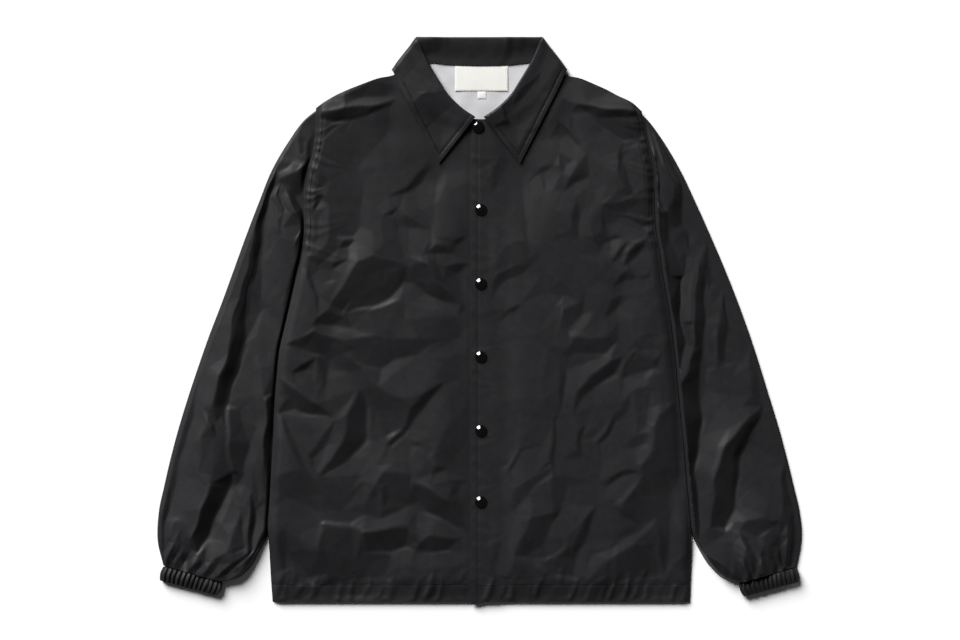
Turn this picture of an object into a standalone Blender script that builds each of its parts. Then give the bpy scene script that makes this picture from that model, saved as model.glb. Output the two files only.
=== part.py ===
"""Coach jacket, buttoned with snaps and laid flat on a surface, front side up.

The wearer's right is at -X, the collar is at +Y and +Z points up from the surface.
Tables and sizes are in millimetres; meshes are in metres.
Layers from the surface up, in the body: back panel, lining in the neck, right front, left front, collar.
The sleeves lie beside the body, with their inner margin under its side edges.
"""
import math

import bpy
import bmesh
import numpy as np
from mathutils import Vector

MM = 0.001

# Cloth
WALL = 1.2
LINING_WALL = 1.0
GAP = 0.4
SLEEVE_EDGE = 3.0

# Body, seen from above
HEM_Y = -366.0
PLACKET_TIP_Y = -369.2
PLACKET_EDGE_X = -10.4
FLY_EDGE_X = 12.0
CENTRE_NECK_Y = 262.0
SNAP_LINE_X = 2.0
TOP_SNAP = (-2.0, 251.6)
SNAP_Y = (143.6, 47.5, -47.5, -143.6, -236.0)
SNAP_DIAMETER = 16.0
SNAP_HEIGHT = 3.4

# Lifts of the lower layers
SLEEVE_LIFT = 3.5
ARMHOLE_LIFT = 2.0
COLLAR_LIFT = 1.7
HOLLOW = 2.0

# Side edges of the body from hem to shoulder tip: height, right edge, left edge
SIDE_EDGES = [
    (-366.0, -269.2, 273.1),
    (-332.0, -271.6, 274.5),
    (-298.0, -273.3, 275.4),
    (-265.0, -275.0, 274.0),
    (-241.0, -273.3, 271.7),
    (-200.0, -271.1, 268.0),
    (-157.0, -268.5, 264.5),
    (-114.0, -266.8, 260.0),
    (-72.0, -263.6, 256.0),
    (-38.0, -260.0, 252.5),
    (-12.0, -254.2, 249.5),
    (27.0, -245.1, 243.5),
    (60.0, -238.0, 237.6),
    (92.0, -230.8, 233.1),
    (111.0, -228.6, 229.5),
    (170.0, -228.2, 227.0),
    (190.0, -225.6, 226.5),
    (222.0, -216.5, 221.0),
    (254.0, -213.0, 215.0),
    (276.3, -212.6, 210.0),
]

# Shoulder line from the tip to the neck point: distance from the centre on the right and left side, height
SHOULDERS = [
    (212.6, 210.0, 276.3),
    (200.9, 196.0, 284.1),
    (187.9, 180.1, 291.9),
    (171.0, 165.8, 299.7),
    (151.5, 148.6, 307.5),
    (129.4, 129.4, 315.3),
    (114.0, 114.0, 318.5),
    (101.0, 101.0, 324.5),
]

# Front neckline from the neck point to the centre: distance from the centre, height
NECKLINE = [(95.0, 331.0), (85.0, 314.0), (67.0, 294.0), (47.0, 277.0), (26.0, 266.0), (10.4, 262.0)]

# Back neck seam from the neck point to the centre: distance from the centre, height
BACK_NECK = [(92.0, 338.5), (66.0, 338.0), (38.0, 335.5), (0.0, 334.5)]

# Sleeve sections from armhole to cuff: outer point, inner point, thickness of the flattened tube, gathers
RIGHT_SLEEVE = [
    ((-207, 277.6), (-222, 92), 3.0, 0.0),
    ((-228, 260.7), (-226, 88), 4.5, 0.0),
    ((-249, 232), (-228, 84), 5.8, 0.0),
    ((-270, 196), (-231, 79), 6.4, 0.0),
    ((-287, 154), (-233, 71), 6.8, 0.0),
    ((-305, 107), (-235, 49), 7.0, 0.0),
    ((-322, 60), (-239, 20), 7.0, 0.0),
    ((-337, 19), (-243, -12), 7.0, 0.0),
    ((-352, -20), (-246, -46), 7.0, 0.0),
    ((-366, -60), (-249, -84), 7.0, 0.0),
    ((-379, -99), (-251, -127), 7.0, 0.0),
    ((-391, -138), (-253, -166), 7.0, 0.0),
    ((-402, -179), (-258, -207), 7.2, 0.0),
    ((-411, -218), (-266, -249), 7.6, 0.2),
    ((-417, -246), (-275, -279), 8.4, 0.4),
    ((-419.3, -274), (-286, -300), 9.4, 0.7),
    ((-418, -293), (-299, -322), 10.0, 1.0),
    ((-414, -309), (-317, -336), 9.6, 1.3),
    ((-411.5, -318.7), (-333.5, -339.5), 8.8, 1.3),
]
LEFT_SLEEVE = [
    ((205, 274.0), (220, 92), 3.0, 0.0),
    ((219, 260.7), (224, 88), 4.5, 0.0),
    ((240, 232), (227, 84), 5.8, 0.0),
    ((261, 196), (229, 79), 6.4, 0.0),
    ((281, 154), (231, 71), 6.8, 0.0),
    ((302, 107), (234, 49), 7.0, 0.0),
    ((322, 60), (237, 20), 7.0, 0.0),
    ((338, 19), (241, -12), 7.0, 0.0),
    ((352, -20), (243, -46), 7.0, 0.0),
    ((365, -60), (246, -84), 7.0, 0.0),
    ((377, -99), (249, -127), 7.0, 0.0),
    ((389, -138), (252, -166), 7.0, 0.0),
    ((400, -179), (258, -207), 7.2, 0.0),
    ((409.5, -218), (266, -249), 7.6, 0.2),
    ((416, -246), (277, -280), 8.4, 0.4),
    ((419.3, -274), (288, -302), 9.4, 0.7),
    ((418, -293), (300, -320), 10.0, 1.0),
    ((415, -309), (319, -336), 9.6, 1.3),
    ((412.8, -320.0), (337.4, -340.8), 8.8, 1.3),
]

# Cuff casings: centre of the upper and lower end, flat width, thickness
RIGHT_CUFF = [((-372.6, -330.0), 80.0, 8.6), ((-375.2, -339.0), 81.5, 9.6), ((-378.4, -347.6), 77.0, 8.6)]
LEFT_CUFF = [((375.2, -331.2), 78.0, 8.6), ((377.0, -340.2), 79.0, 9.6), ((379.6, -348.9), 74.5, 8.6)]
CUFF_RIBS = 28
RIB_DEPTH = 0.9

# Largest folds of each piece: points along the fold, half width, height above (or below) the cloth
RIGHT_FRONT_FOLDS = [
    ([(-212, 263), (-133, 274)], 14, -1.8),
    ([(-201, 276), (-150, 283)], 12, 1.5),
    ([(-121, 262), (-138, 222), (-158, 194), (-155, 120), (-166, 81)], 22, -2.0),
    ([(-64, 202), (-114, 135)], 15, -2.0),
    ([(-94, 79), (-24, 27)], 15, -2.0),
    ([(-62, 76), (-30, 40)], 12, 2.4),
    ([(-166, 81), (-94, 81)], 18, 2.2),
    ([(-188, 19), (-111, 36)], 18, -2.0),
    ([(-237, -24), (-188, -27), (-140, -84)], 20, -2.4),
    ([(-253, -76), (-193, -125)], 16, 3.0),
    ([(-255, -125), (-218, -207)], 14, -2.4),
    ([(-155, -93), (-180, -158), (-203, -193)], 24, -2.4),
    ([(-49, -80), (-92, -114)], 14, -2.0),
    ([(-124, -196), (-166, -237), (-181, -248)], 14, -2.0),
    ([(-86, -210), (-24, -262)], 16, -2.0),
    ([(-84, -280), (-24, -289)], 14, 2.4),
    ([(-168, -272), (-94, -268)], 14, 3.0),
    ([(-168, -294), (-94, -290)], 14, -2.0),
    ([(-248, -265), (-210, -297)], 16, 2.6),
    ([(-258, -190), (-210, -245)], 18, -2.0),
    ([(-240, 70), (-205, 30)], 14, 2.4),
]
LEFT_FRONT_FOLDS = [
    ([(129, 279), (200, 268)], 13, 2.4),
    ([(137, 262), (200, 237)], 18, -2.0),
    ([(103, 262), (129, 233)], 14, -2.0),
    ([(112, 171), (121, 193)], 12, -1.6),
    ([(162, 153), (209, 162)], 14, 2.4),
    ([(162, 150), (210, 123)], 18, -2.0),
    ([(171, 77), (190, 103)], 12, -2.0),
    ([(185, 68), (212, 100)], 12, 2.2),
    ([(176, 40), (202, 58)], 12, -2.0),
    ([(35, 40), (66, 77)], 18, -1.6),
    ([(111, -14), (209, -12)], 14, 2.4),
    ([(122, -36), (174, -32)], 16, -2.0),
    ([(174, -46), (150, -85), (118, -115)], 20, -2.4),
    ([(157, -38), (105, -103)], 14, 2.0),
    ([(202, -42), (185, -72)], 13, -2.0),
    ([(235, -109), (220, -138)], 13, -2.0),
    ([(227, -146), (211, -188)], 13, -2.0),
    ([(162, -214), (214, -200)], 14, 2.2),
    ([(262, -197), (246, -228), (242, -336)], 14, 2.6),
    ([(226, -254), (202, -281), (159, -313)], 15, 3.0),
    ([(150, -249), (124, -301)], 18, -2.2),
    ([(96, -249), (49, -301)], 17, -2.0),
    ([(49, -303), (92, -333)], 13, 2.4),
    ([(200, -214), (179, -239)], 13, -2.0),
]
RIGHT_SLEEVE_FOLDS = [
    ([(-268, 195), (-287, 93), (-305, 25), (-327, -54), (-339, -103), (-341, -163)], 16, -2.6),
    ([(-339, -27), (-376, -190), (-396, -252)], 16, 2.0),
    ([(-262, 185), (-236, 150)], 12, 1.6),
    ([(-330, -114), (-322, -190), (-300, -270)], 14, 2.4),
    ([(-322, -197), (-352, -245), (-369, -300)], 16, -3.0),
]
LEFT_SLEEVE_FOLDS = [
    ([(262, 98), (272, 14), (282, -96), (292, -226)], 13, -1.8),
    ([(278, 88), (283, 40), (284, -20)], 12, 1.6),
    ([(250, 203), (267, 123)], 14, -2.0),
    ([(324, 49), (327, -20)], 14, -2.0),
    ([(376, -112), (341, -133), (318, -179), (312, -232), (300, -275)], 18, -2.8),
    ([(327, -270), (350, -310)], 14, 2.4),
]

# Point of the collar's fall, and the run of its long outer edge and of its front edge from there
COLLAR_POINT = (52.7, 204.1)
LONG_EDGE = (61.7, 121.6)
FRONT_EDGE = (47.5, 60.5)

# Half of the collar on the wearer's right, from the front end to the side of the neck:
# seam point, roll point and fall-edge point
COLLAR_FRONT = [
    ((-12.0, 258.5), (-5.2, 264.6), (-52.7, 204.1)),
    ((-24.0, 262.5), (-20.8, 275.0), (-61.3, 221.1)),
    ((-38.0, 268.5), (-33.8, 286.7), (-70.0, 238.2)),
    ((-54.0, 278.0), (-42.9, 297.1), (-78.6, 255.2)),
    ((-67.0, 289.5), (-50.0, 308.5), (-87.3, 272.2)),
    ((-79.0, 304.0), (-58.0, 321.5), (-95.9, 289.2)),
    ((-87.0, 318.0), (-67.6, 338.0), (-104.0, 305.5)),
    ((-91.5, 331.0), (-78.8, 363.0), (-112.2, 323.4)),
]
# The same from the side of the neck to the centre of the back, where the fall lies underneath
COLLAR_BACK = [
    ((-89.0, 334.0), (-77.5, 368.6), (-110.0, 326.6)),
    ((-66.0, 335.0), (-60.0, 368.6), (-84.0, 313.0)),
    ((-38.0, 332.5), (-32.0, 368.6), (-44.0, 307.0)),
    ((0.0, 331.5), (0.0, 368.6), (0.0, 305.0)),
]
COLLAR_TURN_STEPS = 4
COLLAR_OUTWARD = (-0.81, 0.59)
ROLL_RADIUS = 1.5
FALL_CLEARANCE = 0.25

# Label and tab: lower left corner, size
LABEL = ((-31.9, 298.4), (68.9, 32.4))
SIZE_TAB = ((-2.5, 288.6), (11.0, 9.2))
LABEL_WALL = 1.0


def smooth(low, high, x):
    """Smooth step from 0 at low to 1 at high."""
    t = np.clip((np.asarray(x, float) - low) / (high - low), 0.0, 1.0)
    return t * t * (3.0 - 2.0 * t)


def side_edge(side, y):
    """X of the body's side edge at height y, side -1 on the wearer's right and +1 on the left."""
    heights = [row[0] for row in SIDE_EDGES]
    column = 1 if side < 0 else 2
    return np.interp(y, heights, [row[column] for row in SIDE_EDGES])


def inside_edge(x, y):
    """Distance from the nearer side edge, positive inside the body."""
    return np.minimum(x - side_edge(-1, y), side_edge(1, y) - x)


def outside_collar(x, y):
    """Distance outside the two straight edges of the collar's fall, which meet at its point."""
    across = np.abs(x) - COLLAR_POINT[0]
    up = y - COLLAR_POINT[1]
    long_edge = math.hypot(*LONG_EDGE)
    front_edge = math.hypot(*FRONT_EDGE)
    beside = (across * LONG_EDGE[1] - up * LONG_EDGE[0]) / long_edge
    below = -(up * FRONT_EDGE[0] + across * FRONT_EDGE[1]) / front_edge
    return np.maximum(beside, below)


def fold_field(x, y, folds):
    """Sum of folds: each is a soft ridge or trough along its points, tapering at both ends."""
    total = np.zeros_like(x)
    for points, width, height in folds:
        best = np.zeros_like(x)
        lengths = [math.dist(a, b) for a, b in zip(points, points[1:])]
        start = 0.0
        for (ax, ay), (bx, by), length in zip(points, points[1:], lengths):
            along = ((x - ax) * (bx - ax) + (y - ay) * (by - ay)) / length
            t = np.clip(along / length, 0.0, 1.0)
            away = np.hypot(x - ax - t * (bx - ax), y - ay - t * (by - ay))
            run = (start + t * length) / sum(lengths)
            taper = 0.55 + 0.45 * np.sin(math.pi * np.clip(run, 0.0, 1.0))
            best = np.maximum(best, taper * np.exp(-(away / width) ** 2))
            start += length
        total += height * best
    return total


def back_ground(x, y):
    """Underside of the back: flat, lifted over the sleeves' margins and over the fall of the collar."""
    margin = 1.0 - smooth(20, 70, inside_edge(x, y))
    beside_sleeve = smooth(-330, -262, y) * (1.0 - smooth(105, 170, y))
    over_fall = smooth(240, 285, y) * (1.0 - smooth(125, 165, np.abs(x)))
    return SLEEVE_LIFT * margin * beside_sleeve + COLLAR_LIFT * over_fall


def front_ground(x, y):
    """Underside of the lower front where it lies closest on what is below it."""
    margin = 1.0 - smooth(20, 70, inside_edge(x, y))
    over_sleeve_end = ARMHOLE_LIFT * margin * smooth(105, 170, y) * (1.0 - smooth(282, 300, y))
    over_lining = smooth(190, 232, y) * (1.0 - smooth(92, 125, np.abs(x)))
    return back_ground(x, y) + WALL + GAP + over_sleeve_end + (LINING_WALL + GAP) * over_lining


def front_relief(x, y, folds):
    """Height of a front above its closest place: a shallow hollow with the largest folds."""
    inside = smooth(0, 26, inside_edge(x, y))
    above_hem = smooth(HEM_Y - 2, HEM_Y + 30, y)
    beside_placket = smooth(12, 45, np.abs(x))
    hollow = HOLLOW * inside * above_hem * (0.35 + 0.65 * beside_placket)
    relief = hollow + fold_field(x, y, folds) * inside * above_hem * beside_placket
    return np.maximum(relief, 0.0) * smooth(4, 36, outside_collar(x, y))


def placket_lift(x):
    """Rise of the upper front where it lies on the lower one."""
    return (WALL + GAP) * (1.0 - smooth(18, 52, x))


def right_front_height(x, y):
    return front_ground(x, y) + front_relief(x, y, RIGHT_FRONT_FOLDS)


def left_front_height(x, y):
    return front_ground(x, y) + front_relief(x, y, LEFT_FRONT_FOLDS) + placket_lift(x)


def collar_rest(x, y):
    """Top of the fronts below the collar, the same on both sides so that the collar can be mirrored."""
    over_placket = (WALL + GAP) * (1.0 - smooth(18, 52, np.abs(x)))
    return front_ground(x, y) + WALL + over_placket + FALL_CLEARANCE


def material(name, colour, roughness, metallic=0.0):
    """Principled material with the piece's own colour."""
    made = bpy.data.materials.new(name)
    made.use_nodes = True
    shader = made.node_tree.nodes["Principled BSDF"]
    shader.inputs["Base Color"].default_value = (*colour, 1.0)
    shader.inputs["Roughness"].default_value = roughness
    shader.inputs["Metallic"].default_value = metallic
    made.diffuse_color = (*colour, 1.0)
    return made


def add_object(name, mesh, finish):
    """Object in the jacket's collection with a material of its own."""
    piece = bpy.data.objects.new(name, mesh)
    piece.data.materials.append(material(name, *finish))
    bpy.data.collections["coach_jacket"].objects.link(piece)
    return piece


def add_wall(piece, thickness, offset):
    """Gives an open surface its cloth thickness."""
    wall = piece.modifiers.new("cloth", 'SOLIDIFY')
    wall.thickness = thickness * MM
    wall.offset = offset


def along_line(points, fraction):
    """Point at a fraction of a line's length."""
    steps = [math.dist(a, b) for a, b in zip(points, points[1:])]
    run = np.concatenate([[0.0], np.cumsum(steps)])
    reach = fraction * run[-1]
    return np.array([np.interp(reach, run, [p[axis] for p in points]) for axis in (0, 1)])


def patch(side_a, side_b, bottom, top, columns, rows):
    """Plan of a panel between four edges, as a blend of its sides and ends."""
    plan = np.zeros((len(rows), len(columns), 2))
    for i, v in enumerate(rows):
        left, right = side_a(v), side_b(v)
        for j, u in enumerate(columns):
            low, high = bottom(u), top(u)
            corners = (
                (1 - u) * (1 - v) * side_a(0) + u * (1 - v) * side_b(0)
                + (1 - u) * v * side_a(1) + u * v * side_b(1)
            )
            plan[i, j] = (1 - u) * left + u * right + (1 - v) * low + v * high - corners
    return plan


def panel(name, plan, height, thickness, finish):
    """Cloth panel: a grid moved to its plan, raised to its underside and given its wall upwards."""
    rows, columns = plan.shape[:2]
    shape = bmesh.new()
    bmesh.ops.create_grid(shape, x_segments=columns - 1, y_segments=rows - 1, size=1.0)
    levels = height(plan[..., 0], plan[..., 1])
    for vertex in shape.verts:
        j = round((vertex.co.x + 1.0) / 2.0 * (columns - 1))
        i = round((vertex.co.y + 1.0) / 2.0 * (rows - 1))
        vertex.co = Vector((plan[i, j, 0], plan[i, j, 1], levels[i, j])) * MM
    bmesh.ops.recalc_face_normals(shape, faces=shape.faces)
    if sum(face.normal.z for face in shape.faces) < 0:
        bmesh.ops.reverse_faces(shape, faces=shape.faces)
    mesh = bpy.data.meshes.new(name)
    shape.to_mesh(mesh)
    shape.free()
    mesh.shade_smooth()
    piece = add_object(name, mesh, finish)
    add_wall(piece, thickness, 1.0)
    return piece


def loft(name, rings, closed, thickness, offset, finish, mirrored=False):
    """Open surface through a row of sections, each a list of points, with its cloth wall."""
    count = len(rings[0])
    points = [Vector(point) * MM for ring in rings for point in ring]
    faces = []
    for i in range(len(rings) - 1):
        for j in range(count if closed else count - 1):
            k = (j + 1) % count
            faces.append((i * count + j, i * count + k, (i + 1) * count + k, (i + 1) * count + j))
    mesh = bpy.data.meshes.new(name)
    mesh.from_pydata(points, [], faces)
    shape = bmesh.new()
    shape.from_mesh(mesh)
    bmesh.ops.recalc_face_normals(shape, faces=shape.faces)
    shape.to_mesh(mesh)
    shape.free()
    mesh.shade_smooth()
    piece = add_object(name, mesh, finish)
    if mirrored:
        mirror = piece.modifiers.new("other half", 'MIRROR')
        mirror.merge_threshold = 0.00005
    add_wall(piece, thickness, offset)
    return piece


# Grid lines of the panels, closer at the edges
FRONT_COLUMNS = [0, .02, .055, .11, .17, .235, .30, .365, .43, .495, .56, .63, .70, .77, .84, .90, .955, 1]
FRONT_ROWS = [0, .012, .04] + [round(.07 + .03 * k, 4) for k in range(30)] + [.97, 1]
BACK_COLUMNS = [0, .02, .045, .075, .11, .16, .23, .35, .5, .65, .77, .84, .89, .925, .955, .98, 1]
BACK_ROWS = [0, .02] + [round(.06 + .045 * k, 4) for k in range(20)] + [.96, 1]
SHOULDER_SHARE = .56


def side_point(side, v):
    """Point of a side edge at a fraction of the way from hem to shoulder tip."""
    tip = SIDE_EDGES[-1][0] if side < 0 else SIDE_EDGES[-1][0] - 4.0
    y = HEM_Y + v * (tip - HEM_Y)
    return np.array([side_edge(side, y), y])


def shoulder_line(side, tip, neck_point):
    """Shoulder from its tip to a neck point."""
    column = 0 if side < 0 else 1
    line = [(side * row[column], row[2]) for row in SHOULDERS[1:]]
    return [tuple(tip)] + line + [(side * neck_point[0], neck_point[1])]


def front_panel(name, side, centre_x, tip_drop, height, finish):
    """One front, from its side seam to its free edge."""
    start = side_point(side, 0.0)
    shoulder = shoulder_line(side, side_point(side, 1.0), NECKLINE[0])
    neck = [(side * x, y) for x, y in NECKLINE[:-1]] + [(side * 10.4, CENTRE_NECK_Y)]
    neck.append((centre_x, CENTRE_NECK_Y))

    def top(u):
        if u <= SHOULDER_SHARE:
            return along_line(shoulder, u / SHOULDER_SHARE)
        return along_line(neck, (u - SHOULDER_SHARE) / (1 - SHOULDER_SHARE))

    def bottom(u):
        dip = tip_drop * smooth(.93, 1.0, u)
        return np.array([start[0] + u * (centre_x - start[0]), HEM_Y - dip])

    def free_edge(v):
        foot = bottom(1.0)[1]
        return np.array([centre_x, foot + v * (CENTRE_NECK_Y - foot)])

    plan = patch(lambda v: side_point(side, v), free_edge, bottom, top, FRONT_COLUMNS, FRONT_ROWS)
    return panel(name, plan, height, WALL, finish)


def back_side(side, v):
    """Side of the back: along the sleeve's end above the underarm, along the body's edge below it."""
    x, y = side_point(side, v)
    sleeve = RIGHT_SLEEVE if side < 0 else LEFT_SLEEVE
    (top_x, top_y), (low_x, low_y) = sleeve[0][:2]
    beside_end = np.interp(y, [low_y, top_y], [low_x, top_x]) - side * 0.7
    return np.array([x + (beside_end - x) * smooth(90, 92, y), y])


def back_panel():
    """Back, flat on the surface, with its neck edge under the stand."""
    right = shoulder_line(-1, back_side(-1, 1.0), BACK_NECK[0])
    left = shoulder_line(1, back_side(1, 1.0), BACK_NECK[0])
    neck = [(-x, y) for x, y in BACK_NECK] + [(x, y) for x, y in BACK_NECK[-2::-1]]

    def top(u):
        if u <= .35:
            return along_line(right, u / .35)
        if u >= .65:
            return along_line(left, (1 - u) / .35)
        return along_line(neck, (u - .35) / .3)

    start, end = back_side(-1, 0.0), back_side(1, 0.0)
    plan = patch(
        lambda v: back_side(-1, v), lambda v: back_side(1, v),
        lambda u: start + u * (end - start), top, BACK_COLUMNS, BACK_ROWS,
    )
    panel("back_panel", plan, back_ground, WALL, BLACK)


def back_lining():
    """Lining where the neck opening shows it, with a margin under the fronts."""
    half_width, low = 86.0, 240.0
    across = np.linspace(-half_width, half_width, 13)
    neck = [(-x, y - 2.0) for x, y in BACK_NECK] + [(x, y - 2.0) for x, y in BACK_NECK[-2::-1]]
    rim = np.interp(across, [p[0] for p in neck], [p[1] for p in neck])
    rows = np.linspace(0.0, 1.0, 7)
    plan = np.array([[(x, low + v * (edge - low)) for x, edge in zip(across, rim)] for v in rows])
    panel("back_lining", plan, lambda x, y: back_ground(x, y) + WALL + GAP, LINING_WALL, LINING)


def sleeve(name, side, sections, folds):
    """Flattened sleeve tube: flat below, rounded at its edges, thin where the body lies on it."""
    top_steps = np.linspace(0.0, 1.0, 17)
    top_steps = 0.45 * top_steps + 0.55 * (0.5 - 0.5 * np.cos(math.pi * top_steps))
    low_steps = np.array([.975, .93, .75, .5, .25, .07, .025])
    rings = []
    for outer, inner, thickness, gather in sections:
        outer, inner = np.array(outer, float), np.array(inner, float)
        width = math.dist(outer, inner)
        plan = outer + top_steps[:, None] * (inner - outer)
        x, y = plan[:, 0], plan[:, 1]
        from_edge = width * np.minimum(top_steps, 1.0 - top_steps)
        edge_turn = np.clip(from_edge / 1.5, 0.0, 1.0)
        rise = np.sqrt(1.0 - (1.0 - edge_turn) ** 2) * SLEEVE_EDGE / 2
        outside = smooth(3, 32, -inside_edge(x, y))
        crown = smooth(-4, 24, from_edge)
        body = (thickness - SLEEVE_EDGE) * crown + fold_field(x, y, folds) * smooth(2, 20, from_edge)
        waves = gather * np.where(np.arange(len(x)) % 2 == 0, 1.0, -1.0) * smooth(0, 6, from_edge)
        z = SLEEVE_EDGE / 2 + rise + np.maximum(body + waves, 0.0) * outside * smooth(0, 4, from_edge)
        ring = list(zip(x, y, z))
        for step in low_steps:
            place = outer + step * (inner - outer)
            reach = width * min(step, 1.0 - step)
            turn = min(reach / 2.6, 1.0)
            ring.append((place[0], place[1], SLEEVE_EDGE / 2 * (1.0 - math.sqrt(1.0 - (1.0 - turn) ** 2))))
        rings.append(ring)
    loft(name, rings, True, WALL, -1.0, BLACK)


def cuff(name, stations, slope):
    """Elastic casing: a flat tube of small upright ribs."""
    across = np.array([math.cos(slope), math.sin(slope)])
    count = 2 * CUFF_RIBS
    rings = []
    for centre, width, thickness in stations:
        radius = thickness / 2
        flat = width - thickness
        turn = math.pi * radius
        perimeter = 2 * (flat + turn)
        ring = []
        for k in range(count):
            run = (k + 0.5) / count * perimeter
            half = run % (perimeter / 2)
            sign = 1.0 if run < perimeter / 2 else -1.0
            if half < flat:
                place = np.array([flat / 2 - half, radius])
                normal = np.array([0.0, 1.0])
            else:
                angle = math.pi / 2 + (half - flat) / radius
                normal = np.array([math.cos(angle), math.sin(angle)])
                place = np.array([-flat / 2, 0.0]) + radius * normal
            rib = RIB_DEPTH * (0.0 if k % 2 == 0 else -1.0)
            place = sign * (place + rib * normal)
            x, y = np.array(centre) + place[0] * across
            ring.append((x, y, radius + 0.02 + place[1]))
        rings.append(ring)
    loft(name, rings, True, WALL, -1.0, BLACK)


def collar_section(station, back):
    """Points of one collar section from its neck seam over the roll to the edge of the fall."""
    seam, roll, edge = (np.array(point, float) for point in station)
    mid = WALL / 2
    outward = 2 * roll - seam - edge
    outward = outward / np.linalg.norm(outward)
    crease = roll - outward * (ROLL_RADIUS + mid)
    stand_width = math.dist(seam, crease)
    fall_width = math.dist(edge, crease)
    if back:
        lining_top = float(back_ground(*seam)) + WALL + GAP + LINING_WALL
        stand_low = lining_top + GAP + mid
        stand_high = mid + 2 * ROLL_RADIUS + 0.5
        fall_start = mid
    else:
        stand_low = float(collar_rest(*seam)) + GAP + mid
        stand_high = stand_low
        fall_start = stand_high + 2 * ROLL_RADIUS
    points = []
    for t in (0.0, 0.2, 0.6, 1.0):
        x, y = seam + t * (crease - seam)
        points.append((x, y, stand_low + (stand_high - stand_low) * float(smooth(0.2, 1.0, t))))
    centre_z = (stand_high + fall_start) / 2
    half = (stand_high - fall_start) / 2
    for angle in (math.pi / 4, math.pi / 2, 3 * math.pi / 4):
        x, y = crease + outward * ROLL_RADIUS * math.sin(angle)
        points.append((x, y, centre_z + half * math.cos(angle)))
    reaches = [0.0, 6.0, 13.0, 22.0] + [22.0 + (fall_width - 22.0) * t for t in (.35, .7, 1.0)]
    for reach in reaches:
        x, y = crease + (edge - crease) * reach / fall_width
        if back:
            z = mid
        else:
            over_stand = 1.0 - float(smooth(stand_width + 2, stand_width + 20, reach))
            roll_height = (2 * ROLL_RADIUS - WALL - GAP) * (1.0 - float(smooth(0, 16, reach)))
            z = float(collar_rest(x, y)) + GAP + mid + (WALL + GAP) * over_stand + roll_height
        points.append((x, y, z))
    return np.array(points)


def collar():
    """Collar: half a strip that lies on the front, turns round the side of the neck and runs behind."""
    front = [collar_section(station, False) for station in COLLAR_FRONT]
    back = [collar_section(station, True) for station in COLLAR_BACK]
    first, last = front[-1], back[0]
    middle = (first + last) / 2
    half = (first - last) / 2
    outward = np.array([*COLLAR_OUTWARD, 0.0])
    turn = []
    for step in range(1, COLLAR_TURN_STEPS + 1):
        angle = math.pi * step / (COLLAR_TURN_STEPS + 1)
        bulge = np.abs(half[:, 2:3]) * math.sin(angle)
        turn.append(middle + half * math.cos(angle) + outward * bulge)
    loft("collar", front + turn + back, False, WALL, 0.0, BLACK, mirrored=True)


def snap(name, x, y, base, finish):
    """Domed snap cap, turned about its upright axis."""
    radius = SNAP_DIAMETER / 2
    profile = [(0.0, 1.0), (.55, .86), (.86, .56), (1.0, .22), (.94, 0.0), (0.0, 0.0)]
    mesh = bpy.data.meshes.new(name)
    points = [(r * radius * MM, 0.0, h * SNAP_HEIGHT * MM) for r, h in profile]
    mesh.from_pydata(points, [(k, k + 1) for k in range(len(points) - 1)], [])
    piece = add_object(name, mesh, finish)
    piece.location = (x * MM, y * MM, base * MM)
    turn = piece.modifiers.new("turned", 'SCREW')
    turn.steps = 14
    turn.render_steps = 14
    turn.use_merge_vertices = True
    turn.merge_threshold = 0.00001
    turn.use_smooth_shade = True


def snap_base(x, y):
    """Highest point of the upper front under a cap, plus the gap."""
    reach = np.linspace(-SNAP_DIAMETER / 2, SNAP_DIAMETER / 2, 9)
    grid_x, grid_y = np.meshgrid(x + reach, y + reach)
    return float(left_front_height(grid_x, grid_y).max()) + WALL + GAP


def flat_piece(name, corner, size, base, finish):
    """Woven label or tab, a thin rectangle on the lining."""
    bpy.ops.mesh.primitive_cube_add(size=1.0)
    piece = bpy.context.object
    piece.name = name
    piece.data.name = name
    centre = (corner[0] + size[0] / 2, corner[1] + size[1] / 2, base + LABEL_WALL / 2)
    scale = (size[0] * MM, size[1] * MM, LABEL_WALL * MM)
    for vertex in piece.data.vertices:
        vertex.co = Vector([a * b for a, b in zip(vertex.co, scale)])
    piece.location = Vector(centre) * MM
    piece.data.materials.append(material(name, *finish))
    for owner in list(piece.users_collection):
        owner.objects.unlink(piece)
    bpy.data.collections["coach_jacket"].objects.link(piece)


BLACK = ((0.012, 0.012, 0.013), 0.42)
LINING = ((0.62, 0.62, 0.63), 0.65)
LABEL_WHITE = ((0.80, 0.79, 0.76), 0.70)
SNAP_BLACK = ((0.01, 0.01, 0.01), 0.12)


def main():
    for leftover in list(bpy.data.objects):
        bpy.data.objects.remove(leftover, do_unlink=True)
    jacket = bpy.data.collections.new("coach_jacket")
    bpy.context.scene.collection.children.link(jacket)

    back_panel()
    back_lining()
    front_panel("front_right", -1, FLY_EDGE_X, 0.0, right_front_height, BLACK)
    front_panel("front_left", 1, PLACKET_EDGE_X, HEM_Y - PLACKET_TIP_Y, left_front_height, BLACK)
    sleeve("sleeve_right", -1, RIGHT_SLEEVE, RIGHT_SLEEVE_FOLDS)
    sleeve("sleeve_left", 1, LEFT_SLEEVE, LEFT_SLEEVE_FOLDS)
    cuff("cuff_right", RIGHT_CUFF, math.atan2(-20.8, 78.0))
    cuff("cuff_left", LEFT_CUFF, math.atan2(20.8, 75.4))
    collar()

    over_lining = COLLAR_LIFT + WALL + GAP + LINING_WALL + GAP
    flat_piece("label", *LABEL, over_lining, LABEL_WHITE)
    flat_piece("size_tab", *SIZE_TAB, over_lining, LABEL_WHITE)
    places = [TOP_SNAP] + [(SNAP_LINE_X, y) for y in SNAP_Y]
    for number, (x, y) in enumerate(places, start=1):
        snap(f"snap_cap_{number}", x, y, snap_base(x, y), SNAP_BLACK)


main()
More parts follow.
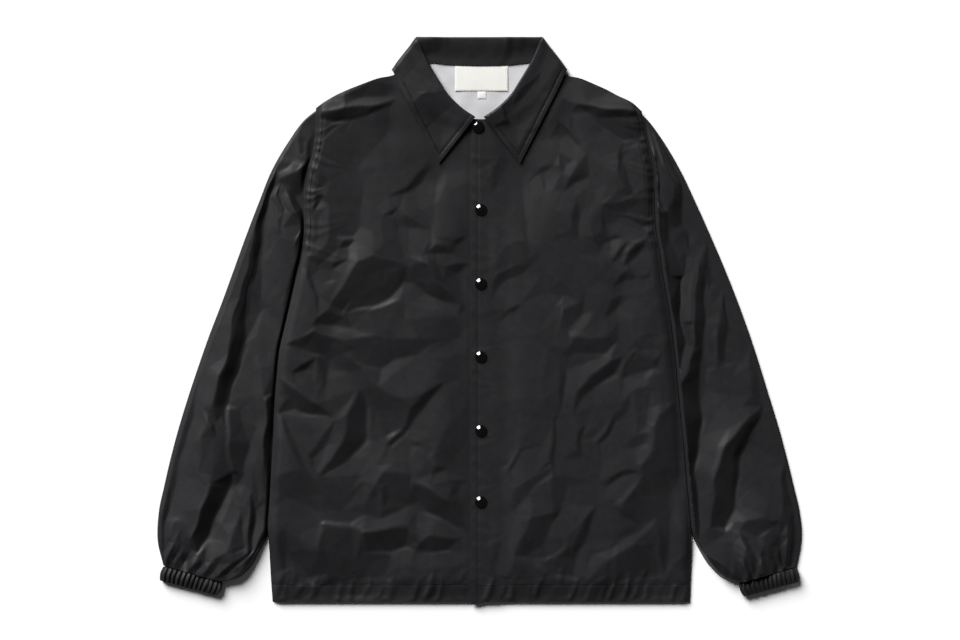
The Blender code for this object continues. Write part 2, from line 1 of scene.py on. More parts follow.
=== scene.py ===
"""Black nylon coach jacket, snapped shut and laid flat, face up, on a pale surface.

Places and sizes in the tables are in millimetres and become metres when a mesh is made.
The wearer's right is at -X, the collar is at +Y, and +Z points up from the surface.
"""
import math

import bpy
import numpy as np
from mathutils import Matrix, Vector
from mathutils.geometry import delaunay_2d_cdt


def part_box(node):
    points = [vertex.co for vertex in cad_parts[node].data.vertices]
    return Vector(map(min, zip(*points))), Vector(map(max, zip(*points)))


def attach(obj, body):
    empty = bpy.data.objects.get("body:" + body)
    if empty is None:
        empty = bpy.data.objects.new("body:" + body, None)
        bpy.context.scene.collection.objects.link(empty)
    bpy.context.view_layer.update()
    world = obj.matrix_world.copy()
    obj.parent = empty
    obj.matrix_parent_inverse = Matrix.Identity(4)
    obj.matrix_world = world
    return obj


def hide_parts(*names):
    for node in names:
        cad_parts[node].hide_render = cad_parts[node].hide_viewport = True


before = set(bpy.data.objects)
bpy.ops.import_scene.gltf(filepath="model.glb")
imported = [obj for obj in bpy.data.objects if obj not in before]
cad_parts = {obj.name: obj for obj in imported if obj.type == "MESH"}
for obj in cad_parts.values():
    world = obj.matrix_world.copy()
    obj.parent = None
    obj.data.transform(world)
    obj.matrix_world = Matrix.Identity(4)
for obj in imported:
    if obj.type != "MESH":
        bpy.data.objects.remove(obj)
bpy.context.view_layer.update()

MM = 0.001

# Cloth of the CAD solids, their walls and the gaps between layers
WALL = 1.2
LINING_WALL = 1.0
GAP = 0.4
SLEEVE_EDGE = 3.0
# Cloth that shows: nylon, lining, the collar's two cloths in one, and the label's satin
NYLON = 0.45
LINING_CLOTH = 0.4
COLLAR_CLOTH = 0.9
LABEL_CLOTH = 0.3
# Angle above which an edge of the cloth is shaded sharp, in degrees
CUT_EDGE = 65.0

HEM_Y = -366.0
PLACKET_TIP_Y = -369.2
PLACKET_EDGE_X = -10.4
FLY_EDGE_X = 12.0
PLACKET_STITCH_X = PLACKET_EDGE_X + 7.0
HEM_STITCH_Y = -342.5
# Grooves and stitches beside the armhole, measured inwards from it
ARM_GROOVES = (2.2, 10.6)
ARM_STITCHES = (2.2, 8.4)
CENTRE_NECK_Y = 262.0
TOP_SNAP = (-2.0, 251.6)
SNAP_X = 2.0
SNAP_Y = (143.6, 47.5, -47.5, -143.6, -236.0)
SNAP_DIAMETER = 16.0
SLEEVE_LIFT = 3.5
ARMHOLE_LIFT = 2.0
COLLAR_LIFT = 1.7

# Side edges of the body from hem to shoulder tip: height, right edge, left edge
SIDE_EDGES = [
    (-366.0, -269.2, 273.1), (-332.0, -271.6, 274.5), (-298.0, -273.3, 275.4),
    (-265.0, -275.0, 274.0), (-241.0, -273.3, 271.7), (-200.0, -271.1, 268.0),
    (-157.0, -268.5, 264.5), (-114.0, -266.8, 260.0), (-72.0, -263.6, 256.0),
    (-38.0, -260.0, 252.5), (-12.0, -254.2, 249.5), (27.0, -245.1, 243.5),
    (60.0, -238.0, 237.6), (92.0, -230.8, 233.1), (111.0, -228.6, 229.5),
    (170.0, -228.2, 227.0), (190.0, -225.6, 226.5), (222.0, -216.5, 221.0),
    (254.0, -213.0, 215.0), (276.3, -212.6, 210.0),
]
# Shoulder line from the tip to the neck point: distance from the centre right and left, height
SHOULDERS = [
    (212.6, 210.0, 276.3), (200.9, 196.0, 284.1), (187.9, 180.1, 291.9), (171.0, 165.8, 299.7),
    (151.5, 148.6, 307.5), (129.4, 129.4, 315.3), (114.0, 114.0, 318.5), (101.0, 101.0, 324.5),
]
NECKLINE = [(95.0, 331.0), (85.0, 314.0), (67.0, 294.0), (47.0, 277.0), (26.0, 266.0), (10.4, 262.0)]
BACK_NECK = [(92.0, 338.5), (66.0, 338.0), (38.0, 335.5), (0.0, 334.5)]

# Sleeve sections from armhole to cuff: outer point, inner point, thickness of the flattened tube
RIGHT_SLEEVE = [
    (-207, 277.6, -222, 92, 3.0), (-228, 260.7, -226, 88, 4.5), (-249, 232, -228, 84, 5.8),
    (-270, 196, -231, 79, 6.4), (-287, 154, -233, 71, 6.8), (-305, 107, -235, 49, 7.0),
    (-322, 60, -239, 20, 7.0), (-337, 19, -243, -12, 7.0), (-352, -20, -246, -46, 7.0),
    (-366, -60, -249, -84, 7.0), (-379, -99, -251, -127, 7.0), (-391, -138, -253, -166, 7.0),
    (-402, -179, -258, -207, 7.2), (-411, -218, -266, -249, 7.6), (-417, -246, -275, -279, 8.4),
    (-419.3, -274, -286, -300, 9.4), (-418, -293, -299, -322, 10.0), (-414, -309, -317, -336, 9.6),
    (-411.5, -318.7, -333.5, -339.5, 8.8),
]
LEFT_SLEEVE = [
    (205, 274.0, 220, 92, 3.0), (219, 260.7, 224, 88, 4.5), (240, 232, 227, 84, 5.8),
    (261, 196, 229, 79, 6.4), (281, 154, 231, 71, 6.8), (302, 107, 234, 49, 7.0),
    (322, 60, 237, 20, 7.0), (338, 19, 241, -12, 7.0), (352, -20, 243, -46, 7.0),
    (365, -60, 246, -84, 7.0), (377, -99, 249, -127, 7.0), (389, -138, 252, -166, 7.0),
    (400, -179, 258, -207, 7.2), (409.5, -218, 266, -249, 7.6), (416, -246, 277, -280, 8.4),
    (419.3, -274, 288, -302, 9.4), (418, -293, 300, -320, 10.0), (415, -309, 319, -336, 9.6),
    (412.8, -320.0, 337.4, -340.8, 8.8),
]
# Cuff casings: centre of the upper, middle and lower line, flat width, thickness
RIGHT_CUFF = [(-372.6, -330.0, 80.0, 8.6), (-375.2, -339.0, 81.5, 9.6), (-378.4, -347.6, 77.0, 8.6)]
LEFT_CUFF = [(375.2, -331.2, 78.0, 8.6), (377.0, -340.2, 79.0, 9.6), (379.6, -348.9, 74.5, 8.6)]
CUFF_RIBS = 28
# Rows of the collar's mesh along one leaf, its columns up the stand and over the roll, and those from
# the roll to its edge
LEAF_ROWS = 112
STAND_COLUMNS = 16
ROLL_COLUMNS = 9
FALL_START = STAND_COLUMNS + ROLL_COLUMNS
FALL_COLUMNS = 58
STITCH_INSET = 6.5

# How much higher the creases stand than the tables say
CREASE_GAIN = 2.1
# Steepest side of a crease, as rise over run
STEEPEST = 0.55
# How much steeper the facets are than the tables say, where they turn away from the light, where they turn
# to it, on the sleeves and on the collar, and how far in millimetres a facet's height carries
SHADY_GAIN = 1.6
BRIGHT_GAIN = 1.0
SLEEVE_GAIN = 1.3
COLLAR_GAIN = 1.2
REACH = 45.0
KEY_BEARING = 124.0
LIGHT_BEARING = np.array([math.cos(math.radians(KEY_BEARING)), math.sin(math.radians(KEY_BEARING))])

COLLAR_POINT = (52.7, 204.1)
LONG_EDGE = (61.7, 121.6)
FRONT_EDGE = (47.5, 60.5)
# Half of the collar from the front end to the side of the neck: seam, roll and fall-edge point
COLLAR_FRONT = [
    (-12.0, 258.5, -5.2, 264.6, -52.7, 204.1), (-24.0, 262.5, -20.8, 275.0, -61.3, 221.1),
    (-38.0, 268.5, -33.8, 286.7, -70.0, 238.2), (-54.0, 278.0, -42.9, 297.1, -78.6, 255.2),
    (-67.0, 289.5, -50.0, 308.5, -87.3, 272.2), (-79.0, 304.0, -58.0, 321.5, -95.9, 289.2),
    (-87.0, 318.0, -67.6, 338.0, -104.0, 305.5), (-91.5, 331.0, -78.8, 363.0, -112.2, 323.4),
]
# From the side of the neck to the centre of the back
COLLAR_BACK = [
    (-89.0, 334.0, -77.5, 368.6, -110.0, 326.6), (-66.0, 335.0, -60.0, 368.6, -84.0, 313.0),
    (-38.0, 332.5, -32.0, 368.6, -44.0, 307.0), (0.0, 331.5, 0.0, 368.6, 0.0, 305.0),
]
COLLAR_OUTWARD = (-0.81, 0.59)
ROLL_RADIUS = 1.5
BACK_STAND_RISE = 4.8
FALL_CLEARANCE = 0.25
LABEL = ((-31.9, 298.4), (68.9, 32.4))
SIZE_TAB = ((-2.5, 288.6), (11.0, 9.2))

# Facets of the sleeves, the fronts and the collar: how steeply each turns to the key light,
# in tenths of rise over run (below zero away from it), and its corners in millimetres. A later one lies
# over an earlier one.
RIGHT_SLEEVE_FACETS = [
    (-0.8, [(-266, 190), (-284, 160), (-303, 100), (-331, 30), (-348, -5), (-373, -80), (-393, -160),
        (-409, -230), (-399, -230), (-383, -160), (-362, -80), (-336, -5), (-320, 30), (-292, 100),
        (-275, 160)]),
    (-0.2, [(-283, 160), (-302, 100), (-322, 50), (-345, -5), (-322, -5), (-311, 30), (-300, 80),
        (-291, 120)]),
    (0.7, [(-347, -5), (-332, -5), (-350, -60), (-358, -110), (-370, -160), (-380, -205), (-390, -258),
        (-400, -258), (-394, -205), (-382, -160), (-370, -110), (-360, -60)]),
    (-2, [(-266, 196), (-276, 165), (-291, 120), (-300, 80), (-311, 30), (-322, -5), (-309, -5), (-299, 35),
        (-290, 85), (-284, 130), (-270, 165)]),
    (-3.2, [(-266, 196), (-280, 160), (-291, 110), (-296, 70), (-306, 20), (-312, -5), (-300, -5),
        (-296, 40), (-286, 90), (-279, 130), (-269, 170)]),
    (0.8, [(-272, 160), (-278, 130), (-285, 80), (-284, 30), (-280, 20), (-262, 20), (-255, 60),
        (-262, 110), (-264, 150)]),
    (-1.8, [(-297, 60), (-284, 60), (-280, 15), (-290, 5), (-303, -5), (-303, 20)]),
    (0.5, [(-262, 110), (-240, 105), (-232, 95), (-235, 60), (-250, 0), (-262, -60), (-275, -60),
        (-280, 20), (-276, 80)]),
    (-0.6, [(-243, 70), (-233, 90), (-240, 40), (-252, -10), (-258, -10), (-250, 40)]),
    (-3.3, [(-229, 118), (-227, 85), (-232, 80), (-240, 98), (-236, 108)]),
    (-3.3, [(-226, 150), (-228, 125), (-236, 140), (-252, 168), (-238, 160)]),
    (-3.3, [(-218, 215), (-228, 180), (-229, 150), (-232, 170), (-232, 200), (-222, 212)]),
    (-3, [(-244, 55), (-236, 60), (-242, 38), (-246, 45)]),
    (-2.2, [(-262, 184), (-244, 192), (-234, 186), (-230, 168), (-246, 170)]),
    (0.1, [(-264, 190), (-245, 200), (-234, 205), (-240, 193), (-262, 186)]),
    (-1.4, [(-262, 205), (-244, 209), (-250, 200), (-262, 196)]),
    (-0.6, [(-250, 222), (-238, 222), (-226, 215), (-224, 206), (-244, 210), (-256, 212)]),
    (0.2, [(-262, 178), (-256, 160), (-242, 138), (-236, 140), (-250, 165), (-260, 180)]),
    (-2, [(-262, 176), (-264, 160), (-255, 142), (-252, 146), (-259, 164)]),
    (0.5, [(-272, 165), (-268, 150), (-262, 120), (-270, 120), (-274, 140)]),
    (-1.6, [(-264, 150), (-258, 140), (-253, 138), (-256, 120), (-260, 118), (-262, 130)]),
    (-0.5, [(-252, 138), (-240, 138), (-229, 124), (-240, 104), (-256, 112), (-258, 122)]),
    (1, [(-238, 240), (-234, 240), (-235, 220), (-239, 220)]),
    (-2.5, [(-234, 240), (-228, 236), (-229, 220), (-234, 220)]),
    (1, [(-226, 236), (-222, 232), (-226, 218), (-230, 218)]),
    (-3, [(-222, 236), (-217, 230), (-219, 218), (-224, 222)]),
    (-2.2, [(-322, -5), (-300, -5), (-308, -30), (-312, -60), (-320, -85), (-330, -112), (-332, -150),
        (-345, -150), (-346, -110), (-336, -70), (-327, -40)]),
    (-3.2, [(-316, -5), (-305, -5), (-318, -60), (-333, -110), (-342, -110), (-330, -60)]),
    (-1.2, [(-352, -120), (-334, -120), (-328, -165), (-322, -195), (-345, -210), (-362, -200),
        (-362, -150)]),
    (0.5, [(-360, -115), (-350, -100), (-344, -112), (-343, -130)]),
    (-2.8, [(-358, -118), (-346, -132), (-344, -150), (-350, -135)]),
    (0.3, [(-300, -25), (-288, -45), (-292, -100), (-290, -140), (-300, -155), (-310, -130), (-314, -114),
        (-326, -106), (-312, -70)]),
    (1.1, [(-292, -45), (-284, -60), (-280, -100), (-281, -160), (-283, -230), (-288, -240), (-292, -190),
        (-299, -158), (-288, -138), (-293, -100)]),
    (-2.6, [(-276, -105), (-268, -95), (-268, -130), (-270, -175), (-274, -205), (-279, -180),
        (-280, -160)]),
    (-1.4, [(-326, -114), (-312, -118), (-308, -140), (-298, -158), (-306, -200), (-320, -195),
        (-326, -160)]),
    (1, [(-330, -112), (-325, -114), (-326, -155), (-318, -195), (-322, -198), (-331, -160)]),
    (-3.2, [(-320, -196), (-344, -200), (-348, -215), (-362, -245), (-372, -280), (-374, -310),
        (-364, -300), (-353, -280), (-346, -258), (-336, -236), (-322, -216)]),
    (0.3, [(-372, -160), (-362, -200), (-352, -215), (-364, -245), (-375, -285), (-385, -270), (-390, -240),
        (-382, -200)]),
    (1.3, [(-322, -214), (-338, -240), (-350, -268), (-356, -290), (-346, -285), (-338, -262), (-326, -236),
        (-316, -214)]),
    (-0.3, [(-328, -236), (-312, -240), (-306, -290), (-326, -300), (-326, -275), (-336, -262)]),
    (-1.6, [(-312, -232), (-304, -245), (-300, -290), (-306, -296), (-318, -300), (-322, -286),
        (-314, -262)]),
    (1.4, [(-350, -282), (-338, -282), (-328, -290), (-328, -302), (-344, -310), (-354, -306)]),
    (1.2, [(-322, -205), (-310, -225), (-302, -255), (-298, -300), (-302, -300), (-308, -262),
        (-318, -225)]),
    (-2.6, [(-297, -222), (-292, -250), (-294, -300), (-299, -300), (-300, -262)]),
    (0.8, [(-292, -245), (-283, -240), (-278, -262), (-284, -290), (-293, -296)]),
    (-2.8, [(-276, -262), (-274, -285), (-282, -305), (-300, -322), (-303, -314), (-290, -300),
        (-284, -286)]),
    (-2.4, [(-300, -302), (-318, -312), (-338, -325), (-342, -333), (-326, -326), (-302, -308)]),
    (0.9, [(-302, -310), (-322, -322), (-338, -334), (-322, -336), (-304, -325)]),
    (-1.6, [(-400, -215), (-410, -225), (-418, -262), (-417, -290), (-409, -300), (-408, -262),
        (-404, -240)]),
    (1.2, [(-404, -262), (-398, -262), (-400, -285), (-406, -284)]),
    (-0.8, [(-396, -262), (-380, -262), (-376, -300), (-384, -320), (-400, -310), (-402, -285)]),
    (0.9, [(-372, -305), (-362, -300), (-364, -322), (-372, -322)]),
    (-2.8, [(-360, -298), (-354, -296), (-356, -322), (-363, -322)]),
]

LEFT_SLEEVE_FACETS = [
    (-1.1, [(230, 248), (262, 205), (284, 160), (304, 105), (320, 55), (300, 40), (278, 80), (262, 60),
        (236, 120), (230, 180)]),
    (-2.6, [(230, 245), (243, 225), (262, 195), (264, 178), (256, 180), (243, 200), (236, 225)]),
    (1.2, [(226, 240), (230, 240), (240, 205), (252, 178), (248, 176), (238, 200)]),
    (0.2, [(232, 212), (240, 196), (250, 176), (252, 160), (244, 142), (236, 155), (230, 175)]),
    (-3.2, [(228, 212), (231, 214), (231, 190), (232, 160), (240, 145), (246, 140), (232, 140), (228, 150),
        (227, 190)]),
    (-2.2, [(253, 178), (264, 178), (263, 150), (268, 128), (258, 124), (253, 140), (246, 142),
        (252, 160)]),
    (-0.9, [(230, 138), (246, 140), (254, 126), (248, 120), (236, 130)]),
    (2, [(250, 124), (266, 121), (270, 112), (262, 116), (254, 120)]),
    (-2.7, [(232, 128), (246, 124), (247, 105), (241, 90), (246, 60), (262, 55), (262, 0), (265, -30),
        (256, -80), (250, -60), (248, -30), (245, 20), (237, 65), (232, 95)]),
    (0, [(250, 118), (262, 114), (270, 100), (272, 90), (264, 80), (256, 80), (250, 100)]),
    (0.7, [(268, 88), (274, 86), (274, 40), (272, 0), (268, 0), (265, 35), (263, 60)]),
    (0.3, [(272, 120), (285, 130), (294, 100), (290, 60), (282, 0), (274, 0), (276, 60), (272, 95)]),
    (-1.4, [(284, 70), (294, 70), (294, 0), (286, -40), (276, -40), (280, 0)]),
    (0.8, [(268, 150), (276, 150), (282, 130), (272, 122), (268, 130)]),
    (-0.9, [(278, 140), (286, 135), (300, 100), (318, 60), (314, 60), (300, 90), (288, 115)]),
    (-0.5, [(296, 80), (308, 80), (318, 60), (318, 40), (308, 20), (300, 45)]),
    (0.9, [(294, 45), (303, 40), (304, 20), (314, 10), (310, -15), (300, -20), (293, -5)]),
    (-1.8, [(318, 62), (322, 62), (326, 30), (328, 0), (328, -20), (320, -20), (318, 20)]),
    (0.9, [(322, 55), (336, 20), (348, -10), (352, -40), (350, -60), (338, -55), (332, -30), (330, 0)]),
    (-1.4, [(308, -5), (318, 0), (328, -35), (320, -55), (310, -62), (308, -40)]),
    (0.9, [(293, -5), (300, -20), (306, -50), (320, -60), (330, -75), (352, -60), (356, -95), (340, -110),
        (322, -140), (310, -165), (300, -200), (284, -190), (290, -150), (290, -60)]),
    (0, [(300, -70), (320, -62), (334, -80), (326, -100), (308, -120), (296, -118), (292, -90)]),
    (-2.6, [(258, -85), (276, -40), (288, -30), (290, -70), (288, -120), (280, -200), (284, -250),
        (276, -262), (272, -200), (264, -140)]),
    (-1.9, [(378, -112), (366, -112), (350, -125), (330, -152), (320, -165), (304, -210), (300, -270),
        (320, -270), (330, -245), (340, -180), (352, -152), (366, -135)]),
    (-2.8, [(372, -114), (352, -132), (338, -155), (330, -185), (326, -240), (334, -215), (340, -175),
        (352, -150), (368, -132)]),
    (-0.9, [(352, -60), (360, -55), (378, -108), (364, -112), (356, -100)]),
    (0.9, [(380, -118), (390, -150), (398, -185), (394, -210), (390, -258), (376, -258), (336, -240),
        (334, -235), (344, -190), (352, -155), (366, -138)]),
    (0.3, [(284, -190), (302, -200), (304, -225), (298, -270), (286, -280), (284, -230)]),
    (-1.3, [(394, -200), (402, -200), (412, -240), (418, -280), (412, -310), (402, -320), (400, -262),
        (392, -240)]),
    (1.6, [(332, -262), (326, -272), (340, -272), (362, -280), (372, -292), (352, -285), (336, -278)]),
    (-2.8, [(340, -280), (350, -286), (364, -318), (370, -330), (360, -320), (346, -296)]),
    (-1.4, [(346, -262), (370, -255), (382, -265), (372, -272), (352, -268)]),
    (-0.9, [(372, -275), (390, -278), (398, -318), (380, -310), (374, -295)]),
    (-2.8, [(401, -268), (406, -268), (404, -320), (399, -320)]),
    (-2.2, [(282, -295), (296, -305), (328, -330), (330, -338), (306, -325), (288, -305)]),
    (0.8, [(292, -295), (306, -288), (330, -300), (344, -316), (330, -326), (304, -306)]),
    (0.2, [(300, -270), (320, -275), (330, -290), (308, -290), (296, -285)]),
    (-0.4, [(264, 0), (273, -4), (277, -34), (272, -62), (262, -84), (256, -84), (265, -30)]),
]

RIGHT_FRONT_FACETS = [
    (-3.2, [(-205, 272), (-179, 276), (-138, 278), (-121, 279), (-138, 267), (-163, 260), (-181, 258),
        (-207, 265)]),
    (-1.5, [(-177, 294), (-138, 309), (-110, 307), (-106, 294), (-155, 288), (-171, 282)]),
    (1.2, [(-203, 276), (-175, 283), (-110, 292), (-108, 288), (-155, 282), (-183, 275)]),
    (-1.2, [(-209, 261), (-204, 261), (-196, 246), (-202, 247)]),
    (-1, [(-211, 256), (-183, 255), (-150, 265), (-120, 278), (-119, 246), (-132, 227), (-150, 209),
        (-159, 195), (-153, 175), (-154, 122), (-163, 110), (-185, 110), (-195, 142), (-209, 191)]),
    (0.7, [(-119, 276), (-104, 274), (-94, 252), (-61, 205), (-69, 205), (-98, 173), (-132, 227),
        (-119, 246)]),
    (-2.2, [(-97, 172), (-81, 191), (-60, 201), (-69, 187), (-85, 172), (-94, 170)]),
    (1.4, [(-59, 200), (-45, 195), (-44, 175), (-57, 150), (-61, 110), (-77, 85), (-94, 85), (-105, 122),
        (-104, 146), (-98, 166), (-69, 183)]),
    (-3, [(-105, 148), (-112, 136), (-117, 139)]),
    (-0.8, [(-124, 134), (-109, 134), (-105, 110), (-98, 77), (-138, 85), (-126, 97)]),
    (-2, [(-161, 73), (-138, 84), (-94, 73), (-98, 53), (-114, 32), (-134, 20), (-171, 11), (-191, 20),
        (-171, 53)]),
    (-1.6, [(-103, 136), (-94, 138), (-65, 120), (-90, 122), (-100, 126)]),
    (-2.6, [(-39, 97), (-29, 105), (-12, 110), (-29, 99)]),
    (-2, [(-69, 89), (-57, 99), (-45, 93), (-36, 86), (-57, 86)]),
    (-2, [(-45, 69), (-29, 73), (-12, 73), (-29, 60), (-39, 65)]),
    (-2, [(-94, 69), (-77, 77), (-69, 73), (-53, 49), (-23, 21), (-45, 22), (-69, 36), (-85, 49)]),
    (1.5, [(-68, 75), (-57, 74), (-45, 51), (-16, 18), (-22, 20), (-53, 49)]),
    (-2.4, [(-185, 95), (-175, 105), (-160, 105), (-171, 97)]),
    (-2.4, [(-192, 68), (-189, 77), (-172, 79), (-185, 72)]),
    (1, [(-182, 72), (-170, 76), (-175, 60)]),
    (1.1, [(-226, 86), (-211, 110), (-207, 134), (-195, 154), (-193, 118), (-199, 101), (-211, 89)]),
    (-2, [(-224, 85), (-211, 83), (-202, 79), (-209, 72)]),
    (0.7, [(-222, 79), (-209, 69), (-194, 53), (-203, 48), (-215, 61)]),
    (-2, [(-226, 69), (-218, 61), (-207, 32), (-220, 40)]),
    (1.8, [(-211, 172), (-194, 183), (-200, 162)]),
    (1.6, [(-211, 156), (-198, 154), (-197, 149), (-215, 142)]),
    (-2.8, [(-212, 166), (-206, 160), (-216, 137)]),
    (-2.4, [(-211, 4), (-195, 15), (-175, 4), (-168, -11), (-191, -4), (-209, -3)]),
    (2, [(-178, 8), (-165, 29), (-169, 15)]),
    (-2.2, [(-236, -25), (-215, -12), (-179, -25), (-163, -37), (-199, -45), (-232, -37)]),
    (1, [(-215, -8), (-191, -12), (-162, -21), (-191, -16)]),
    (0.9, [(-253, -33), (-232, 69), (-212, 36), (-216, -4), (-236, -23)]),
    (-1.3, [(-144, 60), (-132, 68), (-129, 53), (-140, 36), (-147, 40)]),
    (1, [(-129, 66), (-119, 61), (-124, 44)]),
    (-1.4, [(-120, 47), (-109, 53), (-115, 32)]),
    (-0.8, [(-142, 12), (-102, 28), (-98, 4), (-118, -29), (-138, -20)]),
    (-0.5, [(-90, 4), (-29, 4), (-29, -25), (-81, -29)]),
    (-1.1, [(-226, -31), (-220, -24), (-196, -29), (-168, -51), (-151, -64), (-131, -88), (-98, -100),
        (-90, -113), (-98, -136), (-115, -145), (-134, -116), (-151, -91), (-168, -68), (-196, -50)]),
    (-1.3, [(-163, -23), (-58, -23), (-82, -43), (-111, -51), (-127, -63), (-149, -59), (-166, -41)]),
    (-3, [(-243, -67), (-231, -57), (-212, -48), (-224, -62), (-239, -68)]),
    (1.6, [(-211, -49), (-210, -68), (-213, -80), (-216, -64)]),
    (-1.6, [(-213, -102), (-202, -80), (-210, -46), (-195, -59), (-198, -76)]),
    (-1.7, [(-255, -78), (-239, -88), (-214, -105), (-192, -124), (-220, -120), (-241, -114), (-247, -98)]),
    (1.1, [(-257, -74), (-237, -84), (-211, -102), (-212, -106), (-239, -89)]),
    (1.1, [(-258, -121), (-193, -126), (-199, -141), (-216, -175), (-237, -153)]),
    (-1.7, [(-263, -120), (-249, -137), (-233, -169), (-214, -208), (-228, -194), (-249, -157)]),
    (-1.7, [(-193, -131), (-179, -137), (-198, -159), (-214, -176), (-220, -173)]),
    (-2, [(-153, -92), (-147, -116), (-149, -153), (-155, -165), (-168, -179), (-204, -202), (-202, -194),
        (-178, -161), (-172, -124)]),
    (0.8, [(-190, -129), (-156, -89), (-172, -124), (-179, -161), (-202, -193), (-212, -200), (-214, -206),
        (-198, -161)]),
    (1.5, [(-147, -110), (-142, -112), (-143, -159), (-152, -171), (-149, -154)]),
    (1.1, [(-125, -154), (-117, -150), (-115, -165), (-131, -189), (-151, -210), (-164, -219), (-155, -202),
        (-143, -181)]),
    (-2.6, [(-90, -116), (-74, -96), (-45, -79), (-58, -95), (-74, -111)]),
    (1.3, [(-45, -82), (-38, -100), (-42, -137), (-58, -173), (-66, -181), (-86, -205), (-90, -181),
        (-97, -149), (-94, -137), (-74, -112)]),
    (-3, [(-122, -161), (-101, -138), (-96, -141), (-115, -162)]),
    (-2, [(-92, -152), (-82, -157), (-75, -162), (-86, -162)]),
    (-2, [(-70, -162), (-57, -165), (-64, -169)]),
    (-2.2, [(-62, -198), (-54, -189), (-41, -193), (-54, -198)]),
    (-2.6, [(-40, -207), (-27, -218), (-31, -227), (-38, -218)]),
    (1.3, [(-87, -205), (-66, -213), (-42, -232), (-19, -267), (-42, -234), (-66, -217)]),
    (-2.1, [(-86, -211), (-66, -217), (-42, -235), (-19, -271), (-42, -263), (-70, -247), (-82, -234)]),
    (-1.1, [(-123, -198), (-87, -198), (-90, -222), (-95, -239), (-123, -259), (-151, -263), (-147, -238),
        (-135, -214)]),
    (-2.4, [(-129, -222), (-121, -214), (-118, -230), (-126, -246)]),
    (1.4, [(-134, -230), (-128, -221), (-126, -245), (-135, -250)]),
    (-1.2, [(-198, -200), (-163, -221), (-151, -214), (-180, -246), (-168, -263), (-204, -259),
        (-208, -238)]),
    (-2.3, [(-204, -263), (-163, -272), (-153, -303), (-151, -337), (-188, -340), (-198, -319),
        (-210, -299)]),
    (-1.4, [(-265, -206), (-241, -194), (-204, -223), (-208, -263), (-224, -255), (-245, -231),
        (-261, -222)]),
    (1, [(-251, -230), (-233, -238), (-201, -269), (-208, -295), (-237, -279), (-245, -263)]),
    (-2, [(-249, -267), (-233, -295), (-208, -303), (-198, -328), (-224, -332), (-245, -303)]),
    (-1, [(-261, -279), (-250, -269), (-253, -303), (-233, -332), (-257, -328)]),
    (1.4, [(-166, -271), (-151, -254), (-131, -257), (-94, -241), (-92, -262), (-131, -272), (-151, -274)]),
    (-2.6, [(-151, -276), (-92, -266), (-94, -291), (-115, -299), (-147, -302)]),
    (1.6, [(-166, -272), (-153, -279), (-157, -308), (-163, -295)]),
    (1.1, [(-82, -246), (-58, -259), (-20, -279), (-25, -285), (-64, -278), (-77, -287), (-82, -263)]),
    (-2.3, [(-77, -289), (-64, -280), (-25, -287), (-42, -300), (-70, -300)]),
    (0.9, [(-78, -304), (-33, -302), (-33, -322), (-76, -322)]),
    (0.9, [(-111, -305), (-94, -295), (-82, -299), (-90, -319), (-107, -320)]),
    (-1.4, [(-163, -311), (-147, -303), (-115, -303), (-123, -332), (-151, -336)]),
    (1.3, [(-257, -340), (-249, -303), (-241, -317), (-245, -344)]),
]

